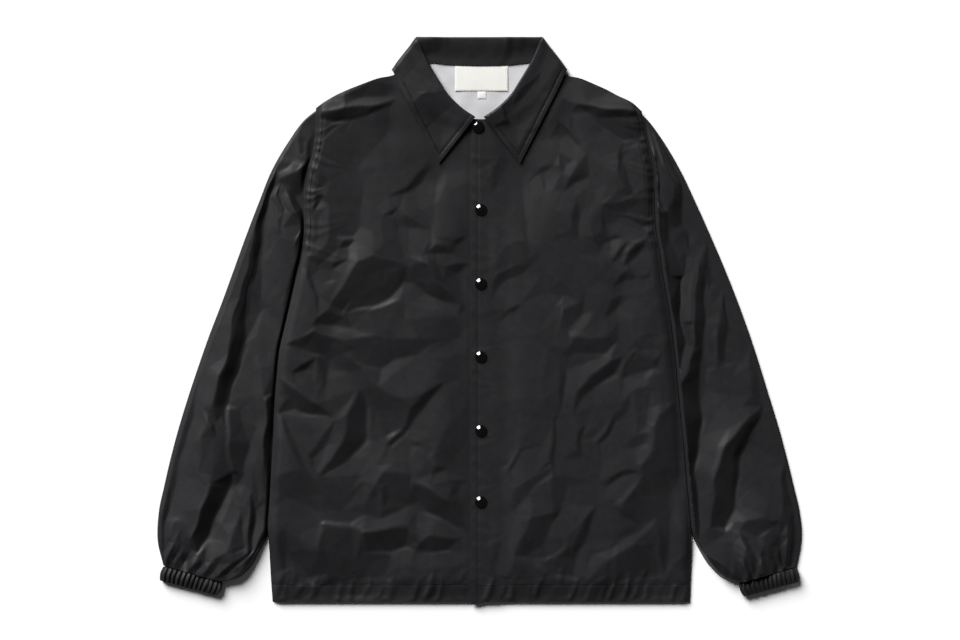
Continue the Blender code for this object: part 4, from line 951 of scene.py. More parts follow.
def back_piece():
    """Back of the jacket on the surface; slight folds lift its underside between the seams."""
    u, v = np.linspace(0, 1, 111), np.linspace(0, 1, 131)
    right, left = back_side(-1, v), back_side(1, v)
    first = shoulder_points(-1, right[-1], (-BACK_NECK[0][0], BACK_NECK[0][1]))
    second = shoulder_points(1, left[-1], BACK_NECK[0])
    neck = [(-x, y) for x, y in BACK_NECK] + BACK_NECK[-2::-1]
    high = np.concatenate([
        along(first, u[u < 0.35] / 0.35),
        along(neck, (u[(u >= 0.35) & (u <= 0.65)] - 0.35) / 0.3),
        along(second, (1 - u[u > 0.65]) / 0.35),
    ])
    low = right[0] + u[:, None] * (left[0] - right[0])
    plan = upright(coons(right, left, low, high, u, v))
    x, y = plan[..., 0], plan[..., 1]
    inside = smooth(2, 30, inside_edge(x, y)) * smooth(HEM_Y, HEM_Y + 30, y)
    folds = np.clip(fold_heights(x, y, BACK_FOLDS), 0, 1.0) * inside * (1 - smooth(200, 240, y))
    points = np.stack([x, y, back_ground(x, y) + NYLON + folds], -1)
    piece = cloth_mesh("back_panel_cloth", points, grid_quads(*points.shape[:2]), flat_uv(points))
    return thicken(piece, NYLON)


def lining_piece():
    """Lining seen in the neck opening, with its margin under the fronts."""
    across = np.linspace(-86.0, 86.0, 87)
    neck = np.array([(-x, y - 2.0) for x, y in BACK_NECK] + [(x, y - 2.0) for x, y in BACK_NECK[-2::-1]])
    rim = curve(neck, across)[:, 0]
    v = np.linspace(0, 1, 47)[:, None]
    x = np.broadcast_to(across, (47, 87))
    y = 240.0 + v * (rim - 240.0)
    ripple = 0.35 * np.sin(x / 9.0 + y / 21.0) * np.sin(y / 15.0) + 0.25 * np.sin(x / 5.3 - y / 9.0)
    z = back_ground(x, y) + WALL + GAP + LINING_WALL - 0.15 + ripple * smooth(240, 262, y) * 0.6
    points = np.stack([x, y, z], -1)
    piece = cloth_mesh("back_lining_cloth", points, grid_quads(*points.shape[:2]), flat_uv(points))
    return thicken(piece, LINING_CLOTH)


def sleeve_grid(sections, facets, gather_seed):
    """Flattened sleeve tube as rings: over the top from the outer to the inner edge and back below.

    The top stands thickness - SLEEVE_EDGE above the edges, plus 3 mm that grow from the outer edge to the
    inner one, with the facets and the cuff's gathers on it; the edges are half round; the underside is
    flat, with slight hollows where the cloth lifts off the surface.
    """
    table = np.asarray(sections, float)
    mids = (table[:, 0:2] + table[:, 2:4]) / 2
    run = np.concatenate([[0.0], np.cumsum(np.linalg.norm(np.diff(mids, axis=0), axis=1))])
    rows, top_count, low_count = 262, 84, 26
    stations = curve(np.column_stack([run, table]), np.linspace(0, run[-1], rows))
    outer, inner, thickness = stations[:, 0:2], stations[:, 2:4], stations[:, 4:5]
    width = np.linalg.norm(inner - outer, axis=1)[:, None]
    reach = run[-1] - np.linspace(0, run[-1], rows)[:, None]
    steps = np.linspace(0, 1, top_count)
    steps = 0.72 * steps + 0.28 * (0.5 - 0.5 * np.cos(np.pi * steps))
    plan = outer[:, None] + steps[None, :, None] * (inner - outer)[:, None]
    x, y = plan[..., 0], plan[..., 1]
    from_edge = width * np.minimum(steps, 1 - steps)[None]
    turn = np.clip(from_edge / 1.6, 0, 1)
    rise = np.sqrt(1 - (1 - turn) ** 2) * SLEEVE_EDGE / 2
    outside = smooth(0, 4.5, -inside_edge(x, y))
    past_outer, past_inner = width * steps[None], width * (1 - steps)[None]
    crown = (thickness - SLEEVE_EDGE) * smooth(-14, 62, past_outer) * smooth(-2, 5, past_inner)
    crown = crown + 3.0 * smooth(0, 70, past_outer) * smooth(0, 5, past_inner)
    folds = fold_heights(x, y, facets) * smooth(0, 8, past_outer) * smooth(0, 4.5, past_inner)
    draw = np.random.default_rng(gather_seed)
    phases = draw.uniform(0, 2 * np.pi, 4)
    place = steps[None] * width + 0 * x
    gather = sum(
        amount * np.sin(place / pitch + phase + 0.5 * np.sin(reach / 9.0 + phase))
        for amount, pitch, phase in zip((0.8, 0.6, 0.45, 0.3), (4.1, 2.7, 1.9, 6.5), phases)
    )
    gather = gather * np.exp(-reach / 16.0) * smooth(0, 8, from_edge)
    body = crown + folds
    body = (body + np.sqrt(body * body + 0.4)) / 2 - 0.25
    z_top = SLEEVE_EDGE / 2 + rise + np.maximum(body + gather, 0) * outside * smooth(0, 4, from_edge)
    low_steps = np.linspace(1, 0, low_count + 2)[1:-1]
    low_plan = outer[:, None] + low_steps[None, :, None] * (inner - outer)[:, None]
    low_edge = width * np.minimum(low_steps, 1 - low_steps)[None]
    low_turn = np.clip(low_edge / 2.6, 0, 1)
    lift = np.clip(0.5 * np.sin(low_plan[..., 0] / 23.0 + low_plan[..., 1] / 31.0), 0, 1)
    lift = lift * smooth(6, 24, low_edge) * smooth(1, 20, -inside_edge(low_plan[..., 0], low_plan[..., 1]))
    z_low = SLEEVE_EDGE / 2 * (1 - np.sqrt(1 - (1 - low_turn) ** 2)) + lift
    z_low = np.maximum(z_low, 0.02)
    top = np.dstack([plan, z_top])
    low = np.dstack([low_plan, z_low])
    return np.concatenate([top, low], axis=1)


def facing_out(rings):
    """Rings of a closed tube in the order in which grid_quads gives them faces that look outwards."""
    a, b = rings, np.roll(rings, -1, axis=1)
    across, ahead = (b - a)[:-1], (a[1:] - a[:-1])
    normal = np.cross(across, ahead)
    centre = rings.mean(axis=1, keepdims=True)[:-1]
    outwards = (normal * (a[:-1] - centre)).sum()
    return rings if outwards > 0 else rings[:, ::-1]


def tube_piece(name, rings):
    """Closed tube of nylon with its cloth thickness inwards."""
    rings = facing_out(rings)
    piece = cloth_mesh(name, rings, grid_quads(*rings.shape[:2], closed=True), flat_uv(rings))
    return thicken(piece, NYLON)


def cuff_grid(stations, slope, seed):
    """Elastic casing as rings: a flattened tube of uneven upright ribs, drawn in at both of its edges.

    With k the rib's number, the surface stands 0.5 + 0.5 cos(2 pi k) of the rib's depth above its
    grooves, and each rib leans and swells a little differently.
    """
    table = np.asarray(stations, float)
    rows, per_rib = 15, 15
    share = np.linspace(0, 2, rows)
    centre_x, centre_y, width, thickness = curve(np.column_stack([[0, 1, 2], table]), share).T
    count = CUFF_RIBS * per_rib
    radius = thickness / 2
    flat = width - thickness
    perimeter = 2 * (flat + np.pi * radius)
    k = np.arange(count) / count
    draw = np.random.default_rng(seed)
    lean = draw.normal(0, 0.9, CUFF_RIBS)
    depth = draw.uniform(0.75, 1.45, CUFF_RIBS)
    number = (k * CUFF_RIBS).astype(int)
    run = k[None] * perimeter[:, None]
    half = run % (perimeter[:, None] / 2)
    sign = np.where(run < perimeter[:, None] / 2, 1.0, -1.0)
    on_flat = half < flat[:, None]
    angle = np.pi / 2 + np.maximum(half - flat[:, None], 0) / radius[:, None]
    nx = np.where(on_flat, 0.0, np.cos(angle))
    nz = np.where(on_flat, 1.0, np.sin(angle))
    px = np.where(on_flat, flat[:, None] / 2 - half, -flat[:, None] / 2 + radius[:, None] * np.cos(angle))
    pz = np.where(on_flat, radius[:, None], radius[:, None] * np.sin(angle))
    across_rib = k * CUFF_RIBS - number - 0.5
    swing = across_rib[None] + 0.10 * lean[number][None] * (share[:, None] - 1)
    groove = 0.5 - 0.5 * np.cos(2 * np.pi * swing)
    groove = groove ** 1.4 * depth[number][None] * 1.35
    phase = 2.0 * lean[number][None] + 0.9 * share[:, None]
    wrinkle = np.sin(2 * np.pi * (k * CUFF_RIBS * 1.87)[None] + phase)
    groove = groove + 0.22 * (1 + wrinkle) * (1 + 0.4 * lean[number][None])
    drawn_in = 0.5 * np.abs(share - 1)[:, None] ** 3
    rib = 0.55 - groove - drawn_in
    px, pz = sign * (px + rib * nx), sign * (pz + rib * nz)
    x = centre_x[:, None] + px * math.cos(slope)
    y = centre_y[:, None] + px * math.sin(slope)
    z = np.maximum(radius[:, None] + 0.02 + pz, 0.02)
    return np.dstack([x, y, z])


def collar_rest(x, y):
    """Top of the fronts below the collar, the same on both sides."""
    over_placket = (WALL + GAP) * (1.0 - smooth(18, 52, np.abs(x)))
    return front_ground(x, y) + WALL + over_placket + FALL_CLEARANCE


def collar_strip(stations, back):
    """Sections of the collar, each from its neck seam up the stand, over the roll and down the fall."""
    seam, roll, edge = (stations[:, k:k + 2] for k in (0, 2, 4))
    mid = WALL / 2
    outward = 2 * roll - seam - edge
    outward = outward / np.linalg.norm(outward, axis=1)[:, None]
    crease = roll - outward * (ROLL_RADIUS + mid)
    stand_width = np.linalg.norm(crease - seam, axis=1)[:, None]
    fall_width = np.linalg.norm(edge - crease, axis=1)[:, None]
    if back:
        stand_low = back_ground(seam[:, 0], seam[:, 1]) + WALL + GAP + LINING_WALL + GAP + mid
        stand_high = np.full(len(seam), mid + 2 * ROLL_RADIUS + BACK_STAND_RISE)
        fall_start = np.full(len(seam), mid)
    else:
        stand_low = collar_rest(seam[:, 0], seam[:, 1]) + GAP + mid
        stand_high = stand_low
        fall_start = stand_high + 2 * ROLL_RADIUS
    t = np.linspace(0, 1, STAND_COLUMNS)[None, :, None]
    stand = seam[:, None] + t * (crease - seam)[:, None]
    rise = smooth(0.2, 1.0, t[..., 0])
    stand_z = stand_low[:, None] + (stand_high - stand_low)[:, None] * rise
    angle = np.linspace(0, np.pi, ROLL_COLUMNS + 2)[1:-1][None]
    roll_plan = crease[:, None] + (outward * ROLL_RADIUS)[:, None] * np.sin(angle)[..., None]
    centre_z, half = (stand_high + fall_start) / 2, (stand_high - fall_start) / 2
    roll_z = centre_z[:, None] + half[:, None] * np.cos(angle)
    s = np.linspace(0, 1, FALL_COLUMNS)[None]
    fall = crease[:, None] + s[..., None] * (edge - crease)[:, None]
    reach = s * fall_width
    if back:
        fall_z = np.full(reach.shape, mid)
    else:
        over_stand = 1.0 - smooth(stand_width + 2, stand_width + 20, reach)
        roll_height = (2 * ROLL_RADIUS - WALL - GAP) * (1.0 - smooth(0, 16, reach))
        fall_z = collar_rest(fall[..., 0], fall[..., 1]) + GAP + mid
        fall_z = fall_z + (WALL + GAP) * over_stand + roll_height
    return np.concatenate([
        np.dstack([stand, stand_z]), np.dstack([roll_plan, roll_z]), np.dstack([fall, fall_z]),
    ], axis=1)


def smooth_stations(table, count):
    """Collar stations spread evenly along the fall's edge."""
    table = np.asarray(table, float)
    run = np.concatenate([[0.0], np.cumsum(np.linalg.norm(np.diff(table[:, 4:6], axis=0), axis=1))])
    return curve(np.column_stack([run, table]), np.linspace(0, run[-1], count))


def collar_grid():
    """Whole collar from its left end round the back of the neck to its right end."""
    front = collar_strip(smooth_stations(COLLAR_FRONT, LEAF_ROWS), False)
    back = collar_strip(smooth_stations(COLLAR_BACK, 44), True)
    middle, half = (front[-1] + back[0]) / 2, (front[-1] - back[0]) / 2
    outward = np.array([*COLLAR_OUTWARD, 0.0])
    angle = np.linspace(0, np.pi, 16)[1:-1][:, None, None]
    turn = middle + half * np.cos(angle) + outward * np.abs(half[:, 2:3]) * np.sin(angle)
    right_half = np.concatenate([front, turn, back])
    left_half = right_half[::-1][1:] * np.array([-1.0, 1.0, 1.0])
    grid = np.concatenate([right_half, left_half])
    x, y = grid[..., 0], grid[..., 1]
    folds = fold_heights(x, y, COLLAR_FOLDS)
    shown = np.ones(len(grid))
    shown[LEAF_ROWS + 10:-LEAF_ROWS - 10] = 0.8
    grid[..., 2] += np.maximum(folds + 0.5, -0.2) * shown[:, None]
    leaf = np.zeros(grid.shape[:2])
    leaf[:LEAF_ROWS, FALL_START:] = leaf[-LEAF_ROWS:, FALL_START:] = 1.0
    grid[..., 2] += leaf * leaf_rim(x, y)
    return grid


def leaf_edges():
    """Unit steps along the two sewn edges of a collar leaf from its point, with x away from the middle."""
    long_step = np.array(LONG_EDGE) / np.linalg.norm(LONG_EDGE)
    front_step = np.array([-FRONT_EDGE[0], FRONT_EDGE[1]]) / np.linalg.norm(FRONT_EDGE)
    return long_step, front_step


def leaf_rim(x, y):
    """Collar leaf beside its two sewn edges: a puckered groove along the stitches, and a raised rim."""
    places = np.column_stack([np.abs(x).ravel(), y.ravel()])
    point = np.array(COLLAR_POINT)
    long_step, front_step = leaf_edges()
    edges = np.array([point + np.linalg.norm(LONG_EDGE) * long_step, point, point + 77.0 * front_step])
    away = distance_to_lines(places, [edges]).reshape(x.shape)
    ripple = 1.0 + 0.2 * np.sin(x / 1.5 + y / 1.9 + 1.5 * np.sin(y / 7.0)) + 0.2 * np.sin(y / 3.7 - x / 5.1)
    groove = 0.45 * np.exp(-((away - STITCH_INSET) / 1.35) ** 2) * ripple
    rim = 0.15 * np.exp(-((away - 2.6) / 2.4) ** 2)
    return 0.8 * (1 - smooth(3, 26, away)) + rim - groove


def collar_piece():
    """Turn-down collar, stand and fall in one, as thick as two cloths."""
    grid = collar_grid()
    piece = cloth_mesh("collar_cloth", grid, grid_quads(*grid.shape[:2]), flat_uv(grid))
    return thicken(piece, COLLAR_CLOTH, 0.0), grid


def stitches(name, lines, pitch, length, radius):
    """Sewing thread: one small capsule for each stitch, half sunk in the cloth.

    Each line is a row of places in millimetres; the stitches lie end to end along it, a pitch apart.
    """
    ring = np.array([(0.0, 1.0), (0.95, 0.3), (0.6, -0.8), (-0.6, -0.8), (-0.95, 0.3)])
    profile = np.array([(-0.5, 0.25), (-0.32, 1.0), (0.32, 1.0), (0.5, 0.25)])
    shapes, faces, total = [], [], 0
    for line in lines:
        line = np.asarray(line, float)
        run = np.concatenate([[0.0], np.cumsum(np.linalg.norm(np.diff(line, axis=0), axis=1))])
        centres = np.arange(pitch / 2, run[-1] - pitch / 2, pitch)
        place = np.stack([np.interp(centres, run, line[:, k]) for k in range(3)], -1)
        ahead = np.stack([np.interp(centres + length / 2, run, line[:, k]) for k in range(3)], -1)
        behind = np.stack([np.interp(centres - length / 2, run, line[:, k]) for k in range(3)], -1)
        forward = ahead - behind
        forward = forward / np.linalg.norm(forward, axis=1)[:, None]
        across = np.stack([-forward[:, 1], forward[:, 0], 0 * forward[:, 0]], -1)
        across = across / np.linalg.norm(across, axis=1)[:, None]
        upward = np.cross(forward, across)
        body = (
            place[:, None, None]
            + forward[:, None, None] * (profile[:, 0] * length)[None, :, None, None]
            + across[:, None, None] * (profile[:, 1, None] * ring[:, 0] * radius)[None, ..., None]
            + upward[:, None, None] * (profile[:, 1, None] * ring[:, 1] * radius + 0.05)[None, ..., None]
        )
        shapes.append(body.reshape(-1, 3))
        count, around = len(profile), len(ring)
        quads = grid_quads(count, around, closed=True)
        starts = total + np.arange(len(place)) * count * around
        faces.append((starts[:, None, None] + quads[None]).reshape(-1, 4))
        total += len(place) * count * around
    return cloth_mesh(name, np.concatenate(shapes), np.concatenate(faces))


def over_front(side, points, spacing=2.0):
    """Places on a front's surface along a line drawn in plan."""
    points = np.asarray(points, float)
    length = np.linalg.norm(np.diff(points, axis=0), axis=1).sum()
    plan = along(points, np.linspace(0, 1, max(int(length / spacing), 3)))
    return np.column_stack([plan, front_surface(side, plan[:, 0], plan[:, 1])])


def seam_lines(side):
    """Topstitching of a front: hem, armhole in two rows and, on the upper front, the placket."""
    hem_end = PLACKET_EDGE_X + (1.0 if side > 0 else -1.5)
    hem = np.linspace(side_edge(side, HEM_STITCH_Y) - side * 2.5, hem_end, 24)
    lines = [over_front(side, [(x, HEM_STITCH_Y - 2.0 * smooth(60, 0, x) * (side > 0)) for x in hem])]
    heights = np.linspace(94, 268, 24)
    for inset in ARM_STITCHES:
        lines.append(over_front(side, [(side_edge(side, y) - side * inset, y) for y in heights]))
    if side > 0:
        lines.append(over_front(side, [(PLACKET_STITCH_X, y) for y in np.linspace(HEM_Y, 243, 30)]))
    return lines


def collar_lines(grid):
    """Topstitching inside the long and the front edges of both leaves of the collar."""
    long_step, front_step = leaf_edges()
    sine = abs(long_step[0] * front_step[1] - long_step[1] * front_step[0])
    corner = np.array(COLLAR_POINT) + STITCH_INSET * (long_step + front_step) / sine
    lines = []
    for side in (-1, 1):
        rows = slice(LEAF_ROWS) if grid[0, -1, 0] * side > 0 else slice(-LEAF_ROWS, None)
        leaf = grid[rows, FALL_START:].reshape(-1, 3)
        for step, length in ((long_step, 108.0), (front_step, 52.0)):
            plan = (corner + np.linspace(0, length, 40)[:, None] * step) * (side, 1)
            nearest = np.argmin(((plan[:, None] - leaf[None, :, :2]) ** 2).sum(-1), axis=1)
            lines.append(np.column_stack([plan, leaf[nearest, 2] + 0.45]))
    return lines


def label_piece(name, corner, size, bulge):
    """Woven label: a rectangle with a little play between its stitches, its edges turned under."""
    columns, rows = int(size[0] / 1.2) + 1, int(size[1] / 1.2) + 1
    u, v = np.meshgrid(np.linspace(0, 1, columns), np.linspace(0, 1, rows))
    x, y = corner[0] + u * size[0], corner[1] + v * size[1]
    rim = np.minimum(np.minimum(u, 1 - u) * size[0], np.minimum(v, 1 - v) * size[1])
    play = np.sin(np.pi * u) * np.sin(np.pi * v)
    z = back_ground(x, y) + WALL + GAP + LINING_WALL + 0.5 + 0.25 * smooth(0, 2.2, rim)
    z = z + bulge * play * (0.6 + 0.4 * np.sin(x / 6.0 + y / 9.0))
    points = np.dstack([x, y, z])
    piece = cloth_mesh(name, points, grid_quads(rows, columns), flat_uv(points))
    return thicken(piece, LABEL_CLOTH)


def lathe(name, place, profile, segments=48):
    """Turned piece at a place: a profile of radius and height swept round its axis."""
    profile = np.asarray(profile, float)
    run = np.arange(len(profile))
    fine = curve(np.column_stack([run, profile]), np.linspace(0, run[-1], 40))
    radius, height = np.maximum(fine[:, :1], 0.0), fine[:, 1:2]
    angle = np.linspace(0, 2 * np.pi, segments, endpoint=False)
    x, y = radius * np.cos(angle), radius * np.sin(angle)
    body = np.dstack([x, y, np.broadcast_to(height, x.shape)]) + np.asarray(place, float)
    return cloth_mesh(name, body, grid_quads(len(fine), segments, closed=True))


def snap_top(x, y):
    """Height of the surface that a cap rests on."""
    reach = np.linspace(-SNAP_DIAMETER / 2, SNAP_DIAMETER / 2, 9)
    grid_x, grid_y = np.meshgrid(x + reach, y + reach)
    return float(front_surface(1, grid_x, grid_y).max())


def linear(code):
    """Linear colour of an sRGB hex code: ((c + 0.055) / 1.055) ** 2.4 above the toe."""
    parts = [int(code[k:k + 2], 16) / 255 for k in (0, 2, 4)]
    return (*[c / 12.92 if c <= 0.04045 else ((c + 0.055) / 1.055) ** 2.4 for c in parts], 1.0)


def node(tree, kind, links=(), **settings):
    """Adds one node; settings name its properties or sockets, links are (socket, source) pairs."""
    made = tree.nodes.new(kind)
    for name, value in settings.items():
        label = name.replace("_", " ")
        if label in made.inputs and not hasattr(made, name):
            made.inputs[label].default_value = value
        else:
            setattr(made, name, value)
    for socket, source in links:
        tree.links.new(source, made.inputs[socket])
    return made


def new_material(name):
    """Empty node material with its shader."""
    made = bpy.data.materials.new(name)
    made.use_nodes = True
    return made, made.node_tree, made.node_tree.nodes["Principled BSDF"]


def nylon_taffeta(name, base, light, roughness, bump):
    """Woven nylon with a thin coating: a dark dyed ground, a soft gloss, fine crumples and threads."""
    made, tree, shader = new_material(name)
    place = node(tree, "ShaderNodeTexCoord")
    # crumples of 3 to 12 mm from packing, which break up each facet's gloss
    crumple = node(tree, "ShaderNodeTexNoise", [("Vector", place.outputs["Object"])],
                   Scale=95.0, Detail=3.5, Roughness=0.55, Distortion=0.4)
    broad = node(tree, "ShaderNodeTexNoise", [("Vector", place.outputs["Object"])],
                 Scale=26.0, Detail=2.0, Roughness=0.5)
    # real threads are 0.25 mm apart; these are drawn coarser, 2.2 mm apart, so that they show
    warp = node(tree, "ShaderNodeTexWave", [("Vector", place.outputs["UV"])],
                wave_type='BANDS', bands_direction='X', Scale=143.0, Distortion=0.6, Detail=1.0)
    weft = node(tree, "ShaderNodeTexWave", [("Vector", place.outputs["UV"])],
                wave_type='BANDS', bands_direction='Y', Scale=143.0, Distortion=0.6, Detail=1.0)
    weave = node(tree, "ShaderNodeMath", [(0, warp.outputs["Fac"]), (1, weft.outputs["Fac"])],
                 operation='MAXIMUM')
    shade = node(tree, "ShaderNodeMix", [("Factor", broad.outputs["Fac"])], data_type='RGBA')
    shade.inputs["A"].default_value = linear(base)
    shade.inputs["B"].default_value = linear(light)
    tree.links.new(shade.outputs["Result"], shader.inputs["Base Color"])
    gloss = node(tree, "ShaderNodeMapRange", [("Value", crumple.outputs["Fac"])],
                 From_Min=0.3, From_Max=0.7, To_Min=roughness - 0.05, To_Max=roughness + 0.07)
    tree.links.new(gloss.outputs["Result"], shader.inputs["Roughness"])
    soft = node(tree, "ShaderNodeBump", [("Height", crumple.outputs["Fac"])],
                Strength=bump, Distance=0.0016)
    layers = [("Height", weave.outputs["Value"]), ("Normal", soft.outputs["Normal"])]
    fine = node(tree, "ShaderNodeBump", layers, Strength=0.12, Distance=0.0002)
    tree.links.new(fine.outputs["Normal"], shader.inputs["Normal"])
    shader.inputs["IOR"].default_value = 1.53
    shader.inputs["Specular IOR Level"].default_value = 0.2
    shader.inputs["Sheen Weight"].default_value = 0.03
    shader.inputs["Sheen Roughness"].default_value = 0.4
    return made


def lining_taffeta():
    """Pale grey polyester taffeta, matt beside the nylon, with a fine even weave."""
    made, tree, shader = new_material("polyester lining woven grey")
    place = node(tree, "ShaderNodeTexCoord")
    # slow cloudiness of 15 mm, and threads drawn coarser than real ones, 2.2 mm apart
    cloud = node(tree, "ShaderNodeTexNoise", [("Vector", place.outputs["Object"])], Scale=60.0, Detail=3.0)
    warp = node(tree, "ShaderNodeTexWave", [("Vector", place.outputs["UV"])],
                wave_type='BANDS', bands_direction='X', Scale=140.0)
    weft = node(tree, "ShaderNodeTexWave", [("Vector", place.outputs["UV"])],
                wave_type='BANDS', bands_direction='Y', Scale=140.0)
    weave = node(tree, "ShaderNodeMath", [(0, warp.outputs["Fac"]), (1, weft.outputs["Fac"])],
                 operation='MAXIMUM')
    shade = node(tree, "ShaderNodeMix", [("Factor", cloud.outputs["Fac"])], data_type='RGBA')
    shade.inputs["A"].default_value = linear("B4B4B6")
    shade.inputs["B"].default_value = linear("CDCDCF")
    tree.links.new(shade.outputs["Result"], shader.inputs["Base Color"])
    height = node(tree, "ShaderNodeMath", [(0, weave.outputs["Value"]), (1, cloud.outputs["Fac"])],
                  operation='ADD')
    fine = node(tree, "ShaderNodeBump", [("Height", height.outputs["Value"])], Strength=0.12, Distance=0.0003)
    tree.links.new(fine.outputs["Normal"], shader.inputs["Normal"])
    shader.inputs["Roughness"].default_value = 0.55
    shader.inputs["IOR"].default_value = 1.5
    shader.inputs["Sheen Weight"].default_value = 0.1
    return made


def label_satin():
    """White woven satin label: threads run one way, so the gloss is soft and striped."""
    made, tree, shader = new_material("polyester satin label woven")
    place = node(tree, "ShaderNodeTexCoord")
    # rows of thread drawn coarser than real ones, 0.75 mm apart
    threads = node(tree, "ShaderNodeTexWave", [("Vector", place.outputs["UV"])],
                   wave_type='BANDS', bands_direction='Y', Scale=420.0, Distortion=0.4)
    shade = node(tree, "ShaderNodeMix", [("Factor", threads.outputs["Fac"])], data_type='RGBA')
    shade.inputs["A"].default_value = linear("DCDAD4")
    shade.inputs["B"].default_value = linear("EDEBE6")
    tree.links.new(shade.outputs["Result"], shader.inputs["Base Color"])
    fine = node(tree, "ShaderNodeBump", [("Height", threads.outputs["Fac"])], Strength=0.25, Distance=0.0003)
    tree.links.new(fine.outputs["Normal"], shader.inputs["Normal"])
    shader.inputs["Roughness"].default_value = 0.5
    return made


def enamel():
    """Snap cap: pressed brass under glossy black enamel, with faint orange peel."""
    made, tree, shader = new_material("black enamel baked on brass")
    place = node(tree, "ShaderNodeTexCoord")
    peel = node(tree, "ShaderNodeTexNoise", [("Vector", place.outputs["Object"])], Scale=520.0, Detail=1.0)
    low = node(tree, "ShaderNodeBump", [("Height", peel.outputs["Fac"])], Strength=0.04, Distance=0.0003)
    tree.links.new(low.outputs["Normal"], shader.inputs["Normal"])
    wear = node(tree, "ShaderNodeMapRange", [("Value", peel.outputs["Fac"])],
                From_Min=0.3, From_Max=0.7, To_Min=0.05, To_Max=0.09)
    tree.links.new(wear.outputs["Result"], shader.inputs["Roughness"])
    shader.inputs["Base Color"].default_value = linear("030303")
    shader.inputs["IOR"].default_value = 1.45
    shader.inputs["Coat Weight"].default_value = 1.0
    shader.inputs["Coat Roughness"].default_value = 0.04
    shader.inputs["Coat IOR"].default_value = 1.5
    return made


def thread(name, dark, light):
    """Spun polyester sewing thread, twisted, matt."""
    made, tree, shader = new_material(name)
    place = node(tree, "ShaderNodeTexCoord")
    twist = node(tree, "ShaderNodeTexNoise", [("Vector", place.outputs["Object"])], Scale=1400.0, Detail=1.0)
    shade = node(tree, "ShaderNodeMix", [("Factor", twist.outputs["Fac"])], data_type='RGBA')
    shade.inputs["A"].default_value = linear(dark)
    shade.inputs["B"].default_value = linear(light)
    tree.links.new(shade.outputs["Result"], shader.inputs["Base Color"])
    shader.inputs["Roughness"].default_value = 0.8
    shader.inputs["Specular IOR Level"].default_value = 0.1
    return made


def dress(piece, finish, slot, *nodes):
    """Gives a piece its material and its body, and hides the CAD nodes it stands for; the slot is not used.
    """
    piece.data.materials.clear()
    piece.data.materials.append(finish)
    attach(piece, "root")
    if nodes:
        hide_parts(*nodes)
    return piece


def soft_light(name, azimuth, height, spread, power):
    """Large distant soft box, the same over the whole jacket: its bearing from +X, its height above
    the surface and its breadth in degrees."""
    light = bpy.data.lights.new(name, 'SUN')
    light.angle = math.radians(spread)
    light.energy = power
    lamp = bpy.data.objects.new(name, light)
    lamp.rotation_euler = (math.radians(90.0 - height), 0.0, math.radians(azimuth + 90.0))
    bpy.context.scene.collection.objects.link(lamp)


RIGHT_FRONT_ALL = fold_plan(toned_facets(RIGHT_FRONT_FACETS), 12, (-290, 0), (-380, 340))
LEFT_FRONT_ALL = fold_plan(toned_facets(LEFT_FRONT_FACETS), 24, (0, 290), (-380, 340))
RIGHT_SEAMS = seam_plan(-1, 200)
LEFT_SEAMS = seam_plan(1, 300)
RIGHT_CUFF_SEAM = [(-412, -308), (-378, -318), (-338, -334)]
LEFT_CUFF_SEAM = [(338, -334), (378, -320), (412, -308)]
RIGHT_SLEEVE_ALL = fold_plan(
    toned_facets(RIGHT_SLEEVE_FACETS, SLEEVE_GAIN)
    + pucker_facets(410, RIGHT_CUFF_SEAM, 6.0, 26.0, 6.5, 5.0, 0.55, 0.1),
    32, (-430, -200), (-350, 290))
LEFT_SLEEVE_ALL = fold_plan(
    toned_facets(LEFT_SLEEVE_FACETS, SLEEVE_GAIN)
    + pucker_facets(420, LEFT_CUFF_SEAM, 6.0, 24.0, 6.5, 5.0, 0.55, 0.1),
    48, (200, 430), (-350, 290))
BACK_FOLDS = fold_plan(
    crease_facets(small_creases(53, 30, (-240, 240), (-330, 200), (60, 190), (0.6, 1.5))),
    54, (-290, 290), (-380, 340), 60.0)
COLLAR_FOLDS = fold_plan(toned_facets(COLLAR_FACETS, COLLAR_GAIN), 62, (-115, 115), (200, 370), 22.0, 0.02)

black_nylon = nylon_taffeta("nylon taffeta coated black", "171719", "1C1C1E", 0.53, 0.08)
# The cuffs use the same black nylon, one level darker: painted shade of their gathered ribs.
cuff_nylon_painted_shade = nylon_taffeta("nylon taffeta black darkened for gather shade", "161618", "1A1A1C", 0.50, 0.08)
grey_lining = lining_taffeta()
white_label = label_satin()
black_enamel = enamel()
black_thread = thread("polyester thread black", "050506", "0E0E0F")
white_thread = thread("polyester thread white", "C8C6C0", "E6E4DE")

back = dress(back_piece(), black_nylon, "nylon", "back_panel")
lining = dress(lining_piece(), grey_lining, "lining", "back_lining")
right_front = front_piece("front_right_cloth", -1, FLY_EDGE_X, 0.0)
left_front = front_piece("front_left_cloth", 1, PLACKET_EDGE_X, HEM_Y - PLACKET_TIP_Y)
dress(right_front, black_nylon, "nylon", "front_right")
dress(left_front, black_nylon, "nylon", "front_left")
right_sleeve = tube_piece("sleeve_right_cloth", sleeve_grid(RIGHT_SLEEVE, RIGHT_SLEEVE_ALL, 71))
left_sleeve = tube_piece("sleeve_left_cloth", sleeve_grid(LEFT_SLEEVE, LEFT_SLEEVE_ALL, 83))
dress(right_sleeve, black_nylon, "nylon", "sleeve_right")
dress(left_sleeve, black_nylon, "nylon", "sleeve_left")
right_cuff = tube_piece("cuff_right_cloth", cuff_grid(RIGHT_CUFF, math.atan2(-20.8, 78.0), 91))
left_cuff = tube_piece("cuff_left_cloth", cuff_grid(LEFT_CUFF, math.atan2(20.8, 75.4), 97))
dress(right_cuff, cuff_nylon_painted_shade, "nylon", "cuff_right")
dress(left_cuff, cuff_nylon_painted_shade, "nylon", "cuff_left")
collar, collar_points = collar_piece()
dress(collar, black_nylon, "nylon", "collar")
label = dress(label_piece("label_woven", *LABEL, 0.35), white_label, "label", "label")
tab = dress(label_piece("size_tab_woven", *SIZE_TAB, 0.1), white_label, "label", "size_tab")

